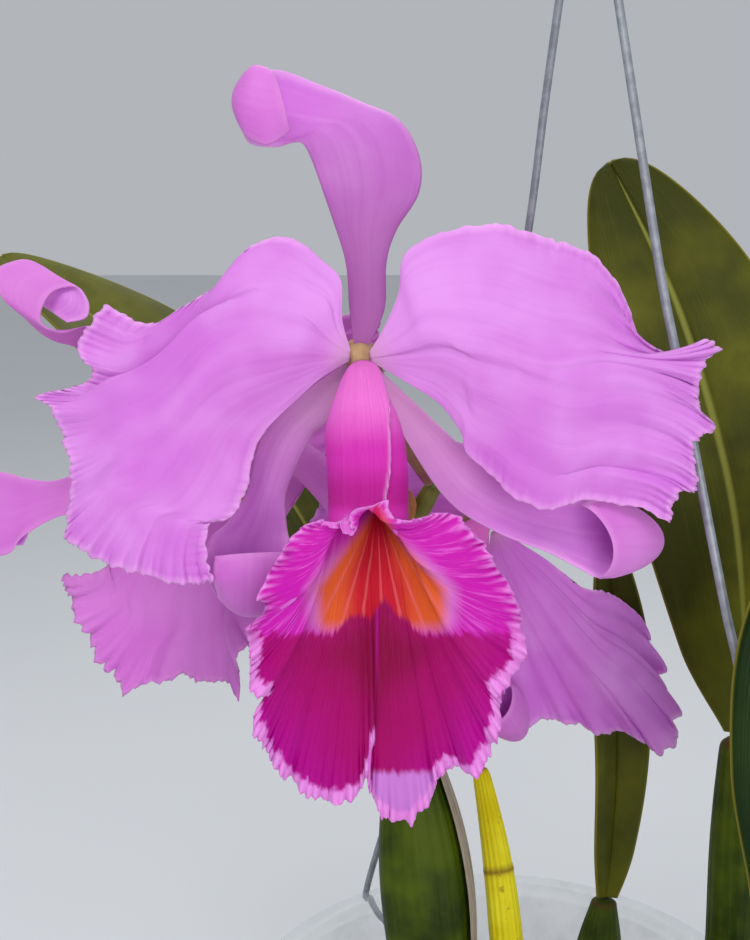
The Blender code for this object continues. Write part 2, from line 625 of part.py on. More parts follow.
def sheath_grid(form, rows, across):
    """Part of a shell round a cane, just off its surface."""
    path = cane_points(form)
    grid = []
    for i in range(rows + 1):
        u = SHEATH_FROM + (SHEATH_TO - SHEATH_FROM) * i / rows
        centre = on_curve(path, u)
        ahead = (on_curve(path, u + 0.02) - on_curve(path, u - 0.02)).normalized()
        side = Vector((1, 0.1, 0))
        side = (side - ahead * side.dot(ahead)).normalized()
        back = ahead.cross(side)
        r = cane_radius(form, u) * 1.03 + SHEATH_OFF
        grid.append([])
        for j in range(across + 1):
            a = math.radians(SHEATH_TURN[0] + (SHEATH_TURN[1] - SHEATH_TURN[0]) * j / across)
            flat = form["thick"] / form["wide"]
            grid[-1].append(centre + side * r * math.cos(a)
                            + back * (r * flat + 0.5) * math.sin(a)
                            + side * 0.8 * math.sin(6.0 * u + j) * (j / across))
    return grid


def bract_grid(rows, across):
    """A small pointed leaf that clasps the stalk under the blooms."""
    grid = []
    for i in range(rows + 1):
        u = i / rows
        centre = Vector(STALK[-2]).lerp(Vector(STALK[-1]), 0.15 + 0.75 * u)
        reach = 4.6 + 2.4 * u * u
        spread = math.radians(62.0) * math.sqrt(max(0.04, 1.0 - u * u))
        grid.append([])
        for j in range(across + 1):
            a = math.radians(185.0) + spread * (2.0 * j / across - 1.0)
            grid[-1].append(centre + Vector((reach * math.cos(a), reach * math.sin(a), 0.0)))
    return grid


def add_papery_parts(parts):
    husk = material("dry_husk", (0.5, 0.42, 0.33), 0.8)
    tan = material("bract_tan", (0.72, 0.42, 0.2), 0.6)
    blade("cane_dry_sheath", sheath_grid(CANES["cane_flowering"], 10, 5), BLADE, husk, parts)
    blade("stalk_bract", bract_grid(4, 4), BLADE, tan, parts)


def leaf_grid(form, rows, across):
    rib = [Vector(p) for p in form["rib"]]
    face = Vector(form["face"]).normalized()
    grid = []
    for i in range(rows + 1):
        u = i / rows
        centre = on_curve(rib, u)
        ahead = (on_curve(rib, min(1.0, u + 0.02)) - on_curve(rib, max(0.0, u - 0.02))).normalized()
        side = ahead.cross(face).normalized()
        up = side.cross(ahead).normalized()
        half = max(2.0, on_curve(form["half"], u) * math.sqrt(1.0 - u ** 7))
        grid.append([])
        for j in range(across + 1):
            w = 2.0 * j / across - 1.0
            lift = form["keel"] * abs(w) * half - 0.12 * half * w * w
            wave = 0.6 * math.sin(7.0 * u + 2.0 * w) * abs(w)
            grid[-1].append(centre + side * (w * half) + up * (lift + wave))
    return grid


def add_leaves(parts):
    green = material("leaf_green", (0.16, 0.24, 0.03), 0.4)
    for name, form in LEAVES.items():
        blade(name, leaf_grid(form, 14, 6), LEAF_BLADE, green, parts)


# Flower stalk and blooms

def add_stalk(parts):
    green = material("stalk_green", (0.35, 0.4, 0.1), 0.5)
    path = resample(STALK, 10)
    radii = [3.2, 2.9, 2.7, 2.7, 2.6, 2.6, 2.6, 2.6, 2.6, 2.9, 2.5]
    tube("flower_stalk", path, radii, 10, green, parts)


def basis(way, face):
    """Columns: the way a piece points, the way its face looks, and across it."""
    u = Vector(way).normalized()
    n = Vector(face)
    n = (n - u * n.dot(u)).normalized()
    w = u.cross(n)
    return Matrix(((u.x, n.x, w.x), (u.y, n.y, w.y), (u.z, n.z, w.z)))


def piece_matrix(form, piece):
    """Turns a piece to its own way; a smaller one moves out, so its base stays in place."""
    centre = Matrix.Translation(Vector(form["centre"]))
    if piece in form["shapes"]:
        return centre
    if piece not in form["pieces"]:
        look = Vector(form["looks"]).normalized()
        turn = basis((1, 0, 0), look) @ basis((1, 0, 0), (0, -1, 0)).transposed()
        return centre @ turn.to_4x4()
    way, face, size = form["pieces"][piece]
    own = math.radians(OWN_WAY[piece])
    start = basis((math.cos(own), 0, math.sin(own)), (0, -1, 0))
    turn = basis(way, face) @ start.transposed()
    step = 0.0 if piece == "lip" else BASE_R * (1 - size)
    out = Matrix.Translation(Vector(way).normalized() * step)
    return centre @ out @ turn.to_4x4() @ Matrix.Scale(size, 4)


def add_bloom(name, form, parts, finishes):
    detail = form["detail"]
    rows, across = round(9 * detail), round(16 * detail)
    own = {piece: OWN_SHAPES[shape] for piece, shape in form["shapes"].items()}
    for piece, outline in (("petal_left", PETAL_LEFT), ("petal_right", PETAL_RIGHT)):
        outline = own.get(piece, outline)
        grid = turned(petal_grid(outline, rows, across), piece_matrix(form, piece))
        blade("bloom_%s_%s" % (name, piece), grid, BLADE, finishes["petal"], parts)
    for piece, outline in (("sepal_dorsal", SEPAL_DORSAL), ("sepal_left", SEPAL_LEFT),
                           ("sepal_right", SEPAL_RIGHT)):
        outline = own.get(piece, outline)
        grid = turned(sepal_grid(outline, round(14 * detail), 4), piece_matrix(form, piece))
        blade("bloom_%s_%s" % (name, piece), grid, BLADE, finishes["petal"], parts)
    grid = turned(lip_grid(round(16 * detail), 4), piece_matrix(form, "lip"))
    blade("bloom_%s_lip" % name, grid, BLADE, finishes["lip"], parts, closed=True)
    add_column(name, form, parts, finishes)


def add_column(name, form, parts, finishes):
    """The ovary comes from the stalk to the bloom's back; the column stands in the lip."""
    centre = Vector(form["centre"])
    look = Vector(form["looks"]).normalized()
    lip = piece_matrix(form, "lip")
    size = form["pieces"]["lip"][2] if "lip" in form["pieces"] else 1.0
    mouth = lip @ Vector((0.3, -4.6, -5.1))
    path = resample(list(form["ovary"]) + [centre - look * 7.0], 6)
    path += [centre - look * 2.2, centre + look * 1.8 * size, lip @ Vector((0.2, -2.0, -4.2)),
             mouth,
             lip @ Vector((0.6, -8.8, -9.9)), lip @ Vector((1.2, -14.0, -16.5))]
    radii = [1.6, 2.0, 2.3, 2.5, 2.8, 3.4, RECEPTACLE_R, RECEPTACLE_R, RECEPTACLE_R - 0.15, 2.3 * size,
             2.0 * size, 2.3 * size, 2.2 * size]
    tube("bloom_%s_column" % name, path, radii, 10, finishes["column"], parts)


# Wire hanger

def wire_foot(turn):
    """The foot goes through the pot's wall under the rim and hooks down inside."""
    away = Vector((math.cos(turn), math.sin(turn), 0.0))
    wall = pot_wall_radius(WIRE_HOLE_Z)
    rim = POT_RIM_R + WIRE_R + 1.6
    return [
        away * (wall - 6.0) + Vector((0, 0, WIRE_HOLE_Z - 7)),
        away * (wall - 5.0) + Vector((0, 0, WIRE_HOLE_Z - 2)),
        away * (wall - 2.0) + Vector((0, 0, WIRE_HOLE_Z - 0.1)),
        away * (wall + 2.0) + Vector((0, 0, WIRE_HOLE_Z + 0.1)),
        away * (rim - 0.5) + Vector((0, 0, WIRE_HOLE_Z + 3.5)),
        away * (rim + 0.6) + Vector((0, 0, POT_HEIGHT + 2)),
    ]


def add_hanger(parts):
    steel = material("galvanised_wire", (0.45, 0.47, 0.48), 0.35, 1.0)
    top = HANGER_TOP
    back_leg = wire_foot(WIRE_FOOT_TURNS[0]) + [
        Vector((-25, 62, 220)), Vector((-6, 46, 310)), Vector((3.7, 33, 376)),
        Vector((7.6, 24, 420)), Vector((10.4, 13, 455)), Vector((12.4, 3.5, 484)), top,
    ]
    hook = [
        top + Vector((0, 0, 12)), top + Vector((0, 0, 24)), top + Vector((1, 0, 34)),
        top + Vector((9, 0, 47)), top + Vector((20, 0, 50)), top + Vector((29, 0, 40)),
        top + Vector((28, 0, 28)),
    ]
    tube("hanger_wire_hooked", resample(back_leg + hook, 64), [WIRE_R] * 65, 6, steel, parts)
    turns, rise = 3, WIRE_R * 2 + 0.6
    ring_r = WIRE_R * 2 + 0.6
    coil = []
    for k in range(turns * 9 + 1):
        a = math.tau * k / 9 - math.pi / 2
        coil.append(top + Vector((ring_r * math.cos(a), ring_r * math.sin(a), 2 + rise * k / 9)))
    front_leg = wire_foot(WIRE_FOOT_TURNS[1]) + [
        Vector((71, -54.5, 165)), Vector((66, -55, 200)), Vector((58, -56, 240)),
        Vector((50.6, -56, 275)), Vector((47, -50, 293)), Vector((35.8, -38, 350)),
        Vector((31.2, -30, 376)), Vector((20.6, -14, 445)), Vector((15.5, -6.5, 477)),
        top + Vector((-2.2, -3.2, 0.2)),
    ]
    path = resample(front_leg, 56) + coil
    tube("hanger_wire_wound", path, [WIRE_R] * len(path), 6, steel, parts)


def main():
    remove_everything()
    parts = collection(OBJECT_NAME)
    cutters = collection("cutters")
    add_pot(parts, cutters)
    medium = add_medium(parts, cutters, CANES)
    add_rhizome(parts, cutters, medium)
    add_canes(parts)
    add_papery_parts(parts)
    add_leaves(parts)
    add_stalk(parts)
    finishes = {
        "petal": material("petal_pink", (0.78, 0.38, 0.72), 0.55),
        "lip": material("lip_crimson", (0.62, 0.02, 0.35), 0.5),
        "column": material("column_green", (0.62, 0.48, 0.32), 0.5),
    }
    for name, form in BLOOMS.items():
        add_bloom(name, form, parts, finishes)
    add_hanger(parts)


main()
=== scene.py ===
import math

import bpy
import numpy as np
from mathutils import Matrix, Vector, noise


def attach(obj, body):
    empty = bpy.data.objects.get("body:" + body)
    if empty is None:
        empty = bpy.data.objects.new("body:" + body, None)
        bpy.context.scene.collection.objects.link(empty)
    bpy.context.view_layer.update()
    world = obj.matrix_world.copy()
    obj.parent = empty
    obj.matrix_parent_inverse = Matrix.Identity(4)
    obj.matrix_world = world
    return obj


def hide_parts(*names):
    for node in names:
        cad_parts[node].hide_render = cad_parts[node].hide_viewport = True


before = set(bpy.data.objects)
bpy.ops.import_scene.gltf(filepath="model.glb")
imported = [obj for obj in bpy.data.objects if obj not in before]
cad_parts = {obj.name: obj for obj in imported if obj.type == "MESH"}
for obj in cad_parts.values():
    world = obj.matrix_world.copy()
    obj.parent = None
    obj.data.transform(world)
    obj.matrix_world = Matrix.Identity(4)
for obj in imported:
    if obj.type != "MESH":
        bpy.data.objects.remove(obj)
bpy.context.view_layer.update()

mm = 0.001


def tone(red, green, blue):
    # a colour given the way a paint program shows it, as the shader wants it
    steps = [v / 255 for v in (red, green, blue)]
    return tuple(((v + 0.055) / 1.055) ** 2.4 if v > 0.04 else v / 12.92 for v in steps) + (1.0,)


# Shader maths

class Link:
    # an output of a node that can stand in a sum
    def __init__(self, shade, socket):
        self.shade = shade
        self.socket = socket

    def math(self, operation, a, b=0.0):
        return self.shade.add("ShaderNodeMath", {"operation": operation}, {0: a, 1: b})

    def __add__(self, other):
        return self.math("ADD", self, other)

    def __sub__(self, other):
        return self.math("SUBTRACT", self, other)

    def __rsub__(self, other):
        return self.math("SUBTRACT", other, self)

    def __mul__(self, other):
        return self.math("MULTIPLY", self, other)

    def __truediv__(self, other):
        return self.math("DIVIDE", self, other)

    def size(self):
        return self.math("ABSOLUTE", self)

    def wave(self):
        return self.math("SINE", self)

    def most(self, other):
        return self.math("MAXIMUM", self, other)

    def least(self, other):
        return self.math("MINIMUM", self, other)

    __radd__ = __add__
    __rmul__ = __mul__


class Shade:
    # one material; every node in it is made by add()
    def __init__(self, name):
        self.material = bpy.data.materials.new(name)
        self.material.use_nodes = True
        self.tree = self.material.node_tree
        self.shader = self.tree.nodes["Principled BSDF"]

    def add(self, kind, settings=None, sockets=None, output=0):
        node = self.tree.nodes.new(kind)
        for key, value in (settings or {}).items():
            if key == "stops":
                self.setStops(node.color_ramp, value)
            else:
                setattr(node, key, value)
        for key, value in (sockets or {}).items():
            self.feed(node.inputs[key], value)
        return Link(self, node.outputs[output])

    def setStops(self, ramp, stops):
        while len(ramp.elements) < len(stops):
            ramp.elements.new(0.5)
        for element, (place, color) in zip(ramp.elements, stops):
            element.position = place
            element.color = color

    def feed(self, socket, value):
        if isinstance(value, Link):
            self.tree.links.new(value.socket, socket)
        else:
            socket.default_value = value

    def field(self, name):
        return self.add("ShaderNodeAttribute", {"attribute_name": name}, output=2)

    def place(self):
        return self.add("ShaderNodeTexCoord", output=3)

    def grain(self, scale, detail=3.0, at=None, rough=0.55):
        sockets = {"Scale": scale, "Detail": detail, "Roughness": rough}
        sockets["Vector"] = at if at is not None else self.place()
        return self.add("ShaderNodeTexNoise", None, sockets)

    def trio(self, x, y, z=0.0):
        return self.add("ShaderNodeCombineXYZ", None, {0: x, 1: y, 2: z})

    def soft(self, value, low, high):
        # 0 below low, 1 above high, with an eased step between them
        return self.add("ShaderNodeMapRange", {"interpolation_type": "SMOOTHSTEP"},
                        {0: value, 1: low, 2: high})

    def blend(self, factor, a, b):
        return self.add("ShaderNodeMix", {"data_type": "RGBA"}, {0: factor, 6: a, 7: b}, output=2)

    def ramp(self, value, stops):
        return self.add("ShaderNodeValToRGB", {"stops": stops}, {0: value})

    def bump(self, height, distance, strength=1.0):
        return self.add("ShaderNodeBump", None,
                        {"Strength": strength, "Distance": distance, "Height": height})

    def done(self, **sockets):
        for key, value in sockets.items():
            self.feed(self.shader.inputs[key.replace("_", " ")], value)
        return self.material


# Curves and grids. Sizes are millimetres until a mesh is made.

fineness = {  # steps along and across, or along and around
    "petal": (84, 190), "sepal": (110, 34), "cane": (104, 54), "leaf": (100, 34),
    "sheath": (60, 26), "bract": (18, 18), "column": (120, 28), "stalk": (90, 24),
    "rhizome": (110, 30), "wire": (420, 14), "woundWire": (380, 14),
}


def roundTurn(count):
    # the angles of evenly spaced places round a ring
    return np.arange(count) / count * math.tau


def outwardAt(degrees):
    # the level direction away from the pot's middle
    return np.array([math.cos(math.radians(degrees)), math.sin(math.radians(degrees)), 0.0])


def onCurve(points, u):
    # points at u (0 to 1) of a smooth curve through evenly counted points
    points = np.asarray(points, float)
    u = np.clip(np.atleast_1d(np.asarray(u, float)), 0, 1)
    last = len(points) - 1
    span = u * last
    i = np.minimum(span.astype(int), last - 1)
    f = (span - i).reshape((-1,) + (1,) * (points.ndim - 1))
    a, b = points[np.maximum(i - 1, 0)], points[i]
    c, d = points[i + 1], points[np.minimum(i + 2, last)]
    return 0.5 * (2 * b + (c - a) * f + (2 * a - 5 * b + 4 * c - d) * f ** 2
                  + (3 * b - a - 3 * c + d) * f ** 3)


def evenly(points, count):
    # count + 1 points at equal steps along the smooth curve
    fine = onCurve(points, np.linspace(0, 1, 401))
    run = np.concatenate([[0], np.cumsum(np.linalg.norm(np.diff(fine, axis=0), axis=1))])
    want = np.linspace(0, run[-1], count + 1)
    return np.stack([np.interp(want, run, fine[:, k]) for k in range(fine.shape[1])], axis=1)


def rough(values, seed):
    # smooth random numbers, about -1 to 1, for an array of places
    return np.array([noise.noise(Vector((float(v), seed, 0.37 * seed))) for v in values])


def unit(vectors):
    size = np.linalg.norm(vectors, axis=-1, keepdims=True)
    return vectors / np.maximum(size, 1e-9)


def rimDistance(points, closed=False):
    # how far each point is from the sheet's free rim, in millimetres
    down = np.linalg.norm(np.diff(points, axis=0), axis=2)
    run = np.concatenate([np.zeros((1, points.shape[1])), np.cumsum(down, axis=0)])
    outer = run[-1] - run
    if closed:
        return outer
    side = np.linalg.norm(np.diff(points, axis=1), axis=2)
    walk = np.concatenate([np.zeros((points.shape[0], 1)), np.cumsum(side, axis=1)], axis=1)
    return np.minimum(outer, np.minimum(walk, walk[:, -1:] - walk))


def sheetFields(points, along, across):
    shape = points.shape[:2]
    return {"along": np.broadcast_to(along, shape), "across": np.broadcast_to(across, shape),
            "edge": rimDistance(points)}


def newPiece(name, verts, faces, fields, material, node):
    mesh = bpy.data.meshes.new(name)
    mesh.from_pydata((np.asarray(verts) * mm).tolist(), [], faces)
    for key, values in fields.items():
        layer = mesh.attributes.new(key, "FLOAT", "POINT")
        layer.data.foreach_set("value", np.asarray(values, np.float32).ravel())
    mesh.materials.append(material)
    mesh.shade_smooth()
    mesh.update()
    piece = bpy.data.objects.new(name, mesh)
    bpy.context.scene.collection.objects.link(piece)
    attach(piece, "root")
    if node:
        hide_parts(node)
    return piece


def quads(rows, columns, wrap, first=0, flip=False):
    i, j = np.meshgrid(np.arange(rows - 1), np.arange(columns if wrap else columns - 1),
                       indexing="ij")
    n = (j + 1) % columns
    a, b = first + i * columns + j, first + (i + 1) * columns + j
    c, d = first + (i + 1) * columns + n, first + i * columns + n
    order = (d, c, b, a) if flip else (a, b, c, d)
    return np.stack([k.ravel() for k in order], axis=1).tolist()


def sheetPiece(name, points, fields, thick, material, node, front, closed=False, rim=1.4):
    # a blade with two skins; it thins towards its rim, and side is 0 on the skin that faces front
    rows, columns = points.shape[:2]
    if closed:
        ahead = np.roll(points, -1, axis=1) - np.roll(points, 1, axis=1)
    else:
        ahead = np.gradient(points, axis=1)
    normal = unit(np.cross(np.gradient(points, axis=0), ahead))
    edge = fields["edge"]
    half = thick / 2 * (0.35 + 0.65 * np.clip(edge / rim, 0, 1))[..., None]
    count = rows * columns
    verts = np.concatenate([(points + normal * half).reshape(-1, 3),
                            (points - normal * half).reshape(-1, 3)])
    faces = quads(rows, columns, closed) + quads(rows, columns, closed, count, True)
    for j in range(columns if closed else columns - 1):
        n = (j + 1) % columns
        faces.append((j, n, count + n, count + j))
        k = (rows - 1) * columns
        faces.append((count + k + j, count + k + n, k + n, k + j))
    if not closed:
        for i in range(rows - 1):
            a, b = i * columns, (i + 1) * columns
            faces.append((count + a, count + b, b, a))
            k = columns - 1
            faces.append((a + k, b + k, count + b + k, count + a + k))
    both = {key: np.tile(np.asarray(values).ravel(), 2) for key, values in fields.items()}
    facing = (normal[rows // 2:] * np.asarray(front, float)).sum()
    both["side"] = np.repeat([0.0, 1.0] if facing > 0 else [1.0, 0.0], count)
    return newPiece(name, verts, faces, both, material, node)


def framesAlong(path, sideWay):
    # two steady directions across a path at each of its points
    ahead = unit(np.gradient(path, axis=0))
    side, sides = np.asarray(sideWay, float), []
    for way in ahead:
        side = side - way * side.dot(way)
        side = side / np.linalg.norm(side)
        sides.append(side)
    sides = np.array(sides)
    return sides, np.cross(ahead, sides)


def tubeGrid(path, radii, sides, sideWay=(1, 0, 0), flat=1.0):
    # radii is one number, one a ring, or one a point of each ring
    radii = np.broadcast_to(np.asarray(radii, float), (len(path),)) if np.ndim(radii) < 2 else radii
    radii = radii[:, None] if radii.ndim == 1 else radii
    turn = roundTurn(sides)
    side, up = framesAlong(path, sideWay)
    return (path[:, None] + side[:, None] * (radii * np.cos(turn))[..., None]
            + up[:, None] * (radii * flat * np.sin(turn))[..., None])


def tubeFaces(rows, columns):
    ends = [list(range(columns)), list(range((rows - 1) * columns, rows * columns))[::-1]]
    return quads(rows, columns, True, flip=True) + ends


def tubePiece(name, grid, fields, material, node):
    rows, columns = grid.shape[:2]
    along = np.repeat(np.linspace(0, 1, rows), columns)
    turn = np.tile(np.arange(columns) / columns, rows)
    flat = {key: np.asarray(v).ravel() for key, v in fields.items()}
    return newPiece(name, grid.reshape(-1, 3), tubeFaces(rows, columns),
                    dict(along=along, turn=turn, **flat), material, node)


def roundedEnds(radii, count=3):
    # draws the last rings of a tube in, so its ends are domed
    radii = np.array(radii, float)
    for k in range(count):
        ease = math.sqrt(1 - (1 - (k + 0.4) / count) ** 2)
        radii[k] *= ease
        radii[-1 - k] *= ease
    return radii


# Materials

petalLook = {
    "pink": tone(206, 112, 212), "deep": tone(176, 76, 180), "light": tone(222, 146, 228),
    "rim": tone(236, 160, 234), "back": tone(206, 108, 196), "base": tone(205, 154, 184),
    "roughness": 0.46, "veins": 170.0,
}


def petalMaterial(name, look, baseReach, baseTintAndShade):
    s = Shade(name)
    along, across, edge = s.field("along"), s.field("across"), s.field("edge")
    lines = s.grain(1.0, 3.0, s.trio(across * look["veins"], along * 3.0), 0.6)
    broad = s.grain(1.0, 2.0, s.trio(across * 16.0, along * 1.6, 3.0), 0.5)
    cloud = s.grain(26.0, 3.0)
    cells = s.grain(900.0, 2.0)
    body = s.blend(s.soft(cloud, 0.36, 0.68), look["pink"], look["light"])
    body = s.blend(s.soft(broad, 0.44, 0.74) * 0.22, body, look["deep"])
    body = s.blend(s.soft(lines, 0.54, 0.74) * 0.12 * s.soft(along, 0.05, 0.4), body, look["deep"])
    middle = 1.0 - s.soft((across - 0.5).size(), 0.0, 0.05)
    body = s.blend(middle * 0.3 * s.soft(along, 0.1, 0.3), body, look["light"])
    frill = (1.0 - s.soft(edge, 0.2, 2.6)) * s.soft(along, 0.25, 0.5)
    body = s.blend(frill * 0.75, body, look["rim"])
    # towards the base the colour blends to look["base"]: a real pale base on petals and side sepals,
    # but on the dorsal sepal a dark colour that is painted shade over its lower part
    pale = 1.0 - s.soft(along, 0.0, baseReach)
    body = s.blend(pale * baseTintAndShade, body, look["base"])
    body = s.blend(s.field("side") * 0.55, body, look["back"])
    height = lines * 0.3 + broad * 0.7 + cells * 0.1
    return s.done(Base_Color=body, Roughness=look["roughness"] + 0.12 * cells,
                  Normal=s.bump(height, 0.0004, 0.45), Sheen_Weight=0.08, Sheen_Roughness=0.4,
                  Specular_IOR_Level=0.35, Subsurface_Weight=0.18,
                  Subsurface_Radius=(0.004, 0.0015, 0.003), Subsurface_Scale=1.0)


lipLook = {
    "crimson": tone(162, 0, 98), "wine": tone(134, 0, 62), "outer": tone(178, 0, 142),
    "patch": tone(200, 122, 208), "magenta": tone(196, 24, 168),
    # the tube's lighter top colour is painted light and its darker low colour is painted shade
    "tube": tone(214, 48, 176), "tubeLitTop": tone(246, 118, 214), "tubeShadedLow": tone(184, 26, 140),
    "rose": tone(226, 96, 208), "orange": tone(224, 92, 40), "red": tone(194, 22, 44),
    "line": tone(226, 104, 110), "halo": tone(214, 126, 202), "frill": tone(230, 140, 222),
    "back": tone(216, 120, 208), "seam": tone(250, 160, 232), "roughness": 0.42,
}


def lipMaterial(name, look):
    s = Shade(name)
    x, z, edge = s.field("lipX"), s.field("lipZ"), s.field("edge")
    flare, around = s.field("flare"), s.field("around")
    veins = s.grain(1.0, 3.0, s.trio(around * 110.0, flare * 2.5), 0.6)
    fine = s.grain(1.0, 2.0, s.trio(around * 260.0, flare * 5.0, 7.0), 0.6)
    ragged = s.grain(1.0, 4.0, s.trio(around * 80.0, flare * 9.0, 2.0), 0.65) - 0.5
    cloud = s.grain(60.0, 3.0) - 0.5
    # side lobes: magenta, paler towards the rim, with light veins that run to it
    body = s.blend(s.soft(veins, 0.5, 0.68) * 0.75, look["magenta"], look["rose"])
    body = s.blend(s.soft(fine, 0.5, 0.66) * 0.5, body, look["magenta"])
    # painted highlight: near the rim the raised crests of the crimps are lightened towards the frill
    # colour, over the rim's own pale tint
    crest = s.soft(s.field("crest"), -0.1, 0.7)
    body = s.blend((1.0 - s.soft(edge, 1.0, 6.0)) * crest * 0.75, body, look["frill"])
    body = s.blend((1.0 - s.soft(edge, 0.5, 1.6)) * s.soft(fine, 0.3, 0.6) * 0.7, body, look["frill"])
    # a rosy halo, then the two orange eyes with the red throat between them
    offset = x - 4.6
    drop = 0.0 - z - 38.0
    reach = (drop * 0.7 + 1.2).least(15.2) + s.soft(offset, 0.0, 6.0) * s.soft(drop, 9.0, 20.0) * 2.4
    spread = offset.size() - reach + cloud * 2.4
    below = s.soft(z + cloud * 2.0, -71.5, -65.5)
    eyeZone = s.soft(drop, 5.0, 15.0)
    halo = (1.0 - s.soft(spread, -0.5, 4.8)) * below * eyeZone
    body = s.blend(halo * 0.8, body, look["halo"])
    eye = (1.0 - s.soft(spread, -2.6, 1.6)) * below
    fromMiddle = offset.size() / (reach + 0.6)
    glow = s.blend(s.soft(fromMiddle + cloud * 0.3, 0.22, 0.72), look["red"], look["orange"])
    angle = s.add("ShaderNodeMath", {"operation": "ARCTAN2"}, {0: offset, 1: drop + 1.0})
    beams = s.soft((angle * 38.0 + ragged * 0.8).wave(), 0.7, 0.98)
    glow = s.blend(beams * 0.5 * s.soft(drop, 1.0, 12.0), glow, look["line"])
    body = s.blend(eye, body, glow)
    # the crimson front lobe with its feathered upper limit
    limit = -65.0 - s.soft(offset.size(), 6.0, 12.0) * 4.6
    peak = 1.0 - s.soft((x - 6.5).size(), 0.0, 4.0)
    limit = limit + peak * 4.0 + ragged * 7.0
    front = 1.0 - s.soft(z - limit, -1.1, 0.9)
    depth = offset.size() * 0.7 + (z + 74.0).size() * 0.5 + cloud * 12.0
    lobe = s.blend(s.soft(depth, 1.0, 15.0), look["wine"], look["crimson"])
    lobe = s.blend(s.soft(depth, 13.0, 34.0), lobe, look["outer"])
    streak = (1.0 - s.soft((x - 4.4).size(), 0.1, 0.8)) * (1.0 - s.soft(drop, 34.0, 50.0))
    lobe = s.blend(streak * 0.4, lobe, look["magenta"])
    inner = s.soft(edge + ragged * 6.0, 3.2, 5.0)
    body = s.blend(front * inner, body, lobe)
    margin = (1.0 - s.soft(edge + ragged * 6.0, 3.0, 5.2)) * (1.0 - s.soft(z, -76.0, -62.0))
    margin = margin.most((1.0 - s.soft(edge, 0.1, 1.1)) * 0.6)
    patch = (1.0 - s.soft(z + ragged * 4.0, -106.6, -104.4)) * s.soft(x, 2.6, 3.8)
    body = s.blend(patch * (1.0 - s.soft(x, 23.0, 26.0)), body, look["patch"])
    body = s.blend(margin * s.soft(flare, 0.2, 0.6), body, look["frill"])
    # the outside: the rolled tube, with painted light on its upper part and painted shade in a low
    # band, its free edge picked out, and the pale back of the flare
    # painted light: the upper part of the tube is made lighter
    roll = s.blend(s.soft(z + cloud * 6.0, -24.0, -10.0), look["tube"], look["tubeLitTop"])
    # painted shade: a darker band low on the tube
    roll = s.blend((1.0 - s.soft(z, -34.0, -25.0)) * s.soft(z, -40.0, -36.0), roll, look["tubeShadedLow"])
    roll = s.blend(s.soft(veins, 0.5, 0.72) * 0.2, roll, look["magenta"])
    roll = s.blend(s.field("seam"), roll, look["seam"])
    outside = s.blend(s.soft(veins, 0.35, 0.7), look["back"], look["rose"])
    outside = s.blend(s.soft(flare, 0.0, 0.35), roll, outside)
    body = s.blend(s.field("side"), body, outside)
    height = veins * 0.6 + fine * 0.3
    return s.done(Base_Color=body, Roughness=look["roughness"],
                  Normal=s.bump(height, 0.0007, 0.7), Specular_IOR_Level=0.12,
                  Subsurface_Weight=0.1, Subsurface_Radius=(0.003, 0.0008, 0.002),
                  Subsurface_Scale=1.0)


plantLook = {
    "column": {"low": tone(150, 112, 84), "high": tone(214, 180, 128), "mark": tone(146, 84, 96)},
    "stalk": {"low": tone(112, 124, 52), "high": tone(156, 160, 84), "mark": tone(120, 88, 70)},
    "cane": {"low": tone(30, 46, 0), "high": tone(72, 88, 2), "mark": tone(84, 54, 22)},
    "yellowCane": {"low": tone(222, 204, 10), "high": tone(244, 234, 40), "mark": tone(116, 68, 26)},
    "rhizome": {"low": tone(96, 84, 48), "high": tone(134, 120, 76), "mark": tone(70, 50, 34)},
}


def stemMaterial(name, look, ribs, roughness=0.42):
    s = Shade(name)
    ring, along = s.field("ring"), s.field("along")
    fibres = s.grain(1.0, 3.0, s.trio(s.field("turn") * 90.0, along * 7.0), 0.6)
    cloud = s.grain(45.0, 4.0)
    specks = s.grain(420.0, 2.0)
    body = s.blend(s.soft(cloud, 0.35, 0.68), look["low"], look["high"])
    body = s.blend(s.soft(fibres, 0.5, 0.75) * 0.4, body, look["high"])
    body = s.blend(s.soft(specks, 0.66, 0.74) * 0.5, body, look["mark"])
    body = s.blend(ring, body, look["mark"])
    groove = (s.field("turn") * (math.tau * ribs)).wave()
    height = fibres * 0.5 + groove * 0.3 + specks * 0.12
    return s.done(Base_Color=body, Roughness=roughness + 0.2 * cloud,
                  Normal=s.bump(height, 0.0006, 0.6), Specular_IOR_Level=0.16)


leafLook = {
    "low": tone(54, 58, 4), "high": tone(98, 100, 14), "rib": tone(140, 142, 58),
    "under": tone(100, 108, 34), "rim": tone(132, 122, 40), "roughness": 0.36,
}
# a darker green, used for the front right leaf
darkLeaf = {"low": tone(8, 30, 0), "high": tone(24, 46, 2), "rib": tone(64, 80, 14)}


def leafMaterial(name, look):
    s = Shade(name)
    across, along, edge = s.field("across"), s.field("along"), s.field("edge")
    cloud = s.grain(16.0, 4.0)
    blotch = s.grain(70.0, 3.0)
    lines = s.grain(1.0, 2.0, s.trio(across * 120.0, along * 5.0), 0.6)
    pits = s.grain(1300.0, 2.0)
    body = s.blend(s.soft(cloud, 0.36, 0.66), look["low"], look["high"])
    body = s.blend(s.soft(blotch, 0.5, 0.7) * 0.35, body, look["low"])
    body = s.blend(s.soft(lines, 0.5, 0.74) * 0.22, body, look["high"])
    rib = 1.0 - s.soft((across - 0.5).size(), 0.004, 0.03)
    body = s.blend(rib * 0.75, body, look["rib"])
    body = s.blend((1.0 - s.soft(edge, 0.1, 0.9)) * 0.8, body, look["rim"])
    body = s.blend(s.field("side") * 0.6, body, look["under"])
    height = lines * 0.6 + pits * 0.2 + rib * 0.6
    return s.done(Base_Color=body, Roughness=look["roughness"] + 0.16 * blotch,
                  Normal=s.bump(height, 0.0005, 0.5), Specular_IOR_Level=0.15)


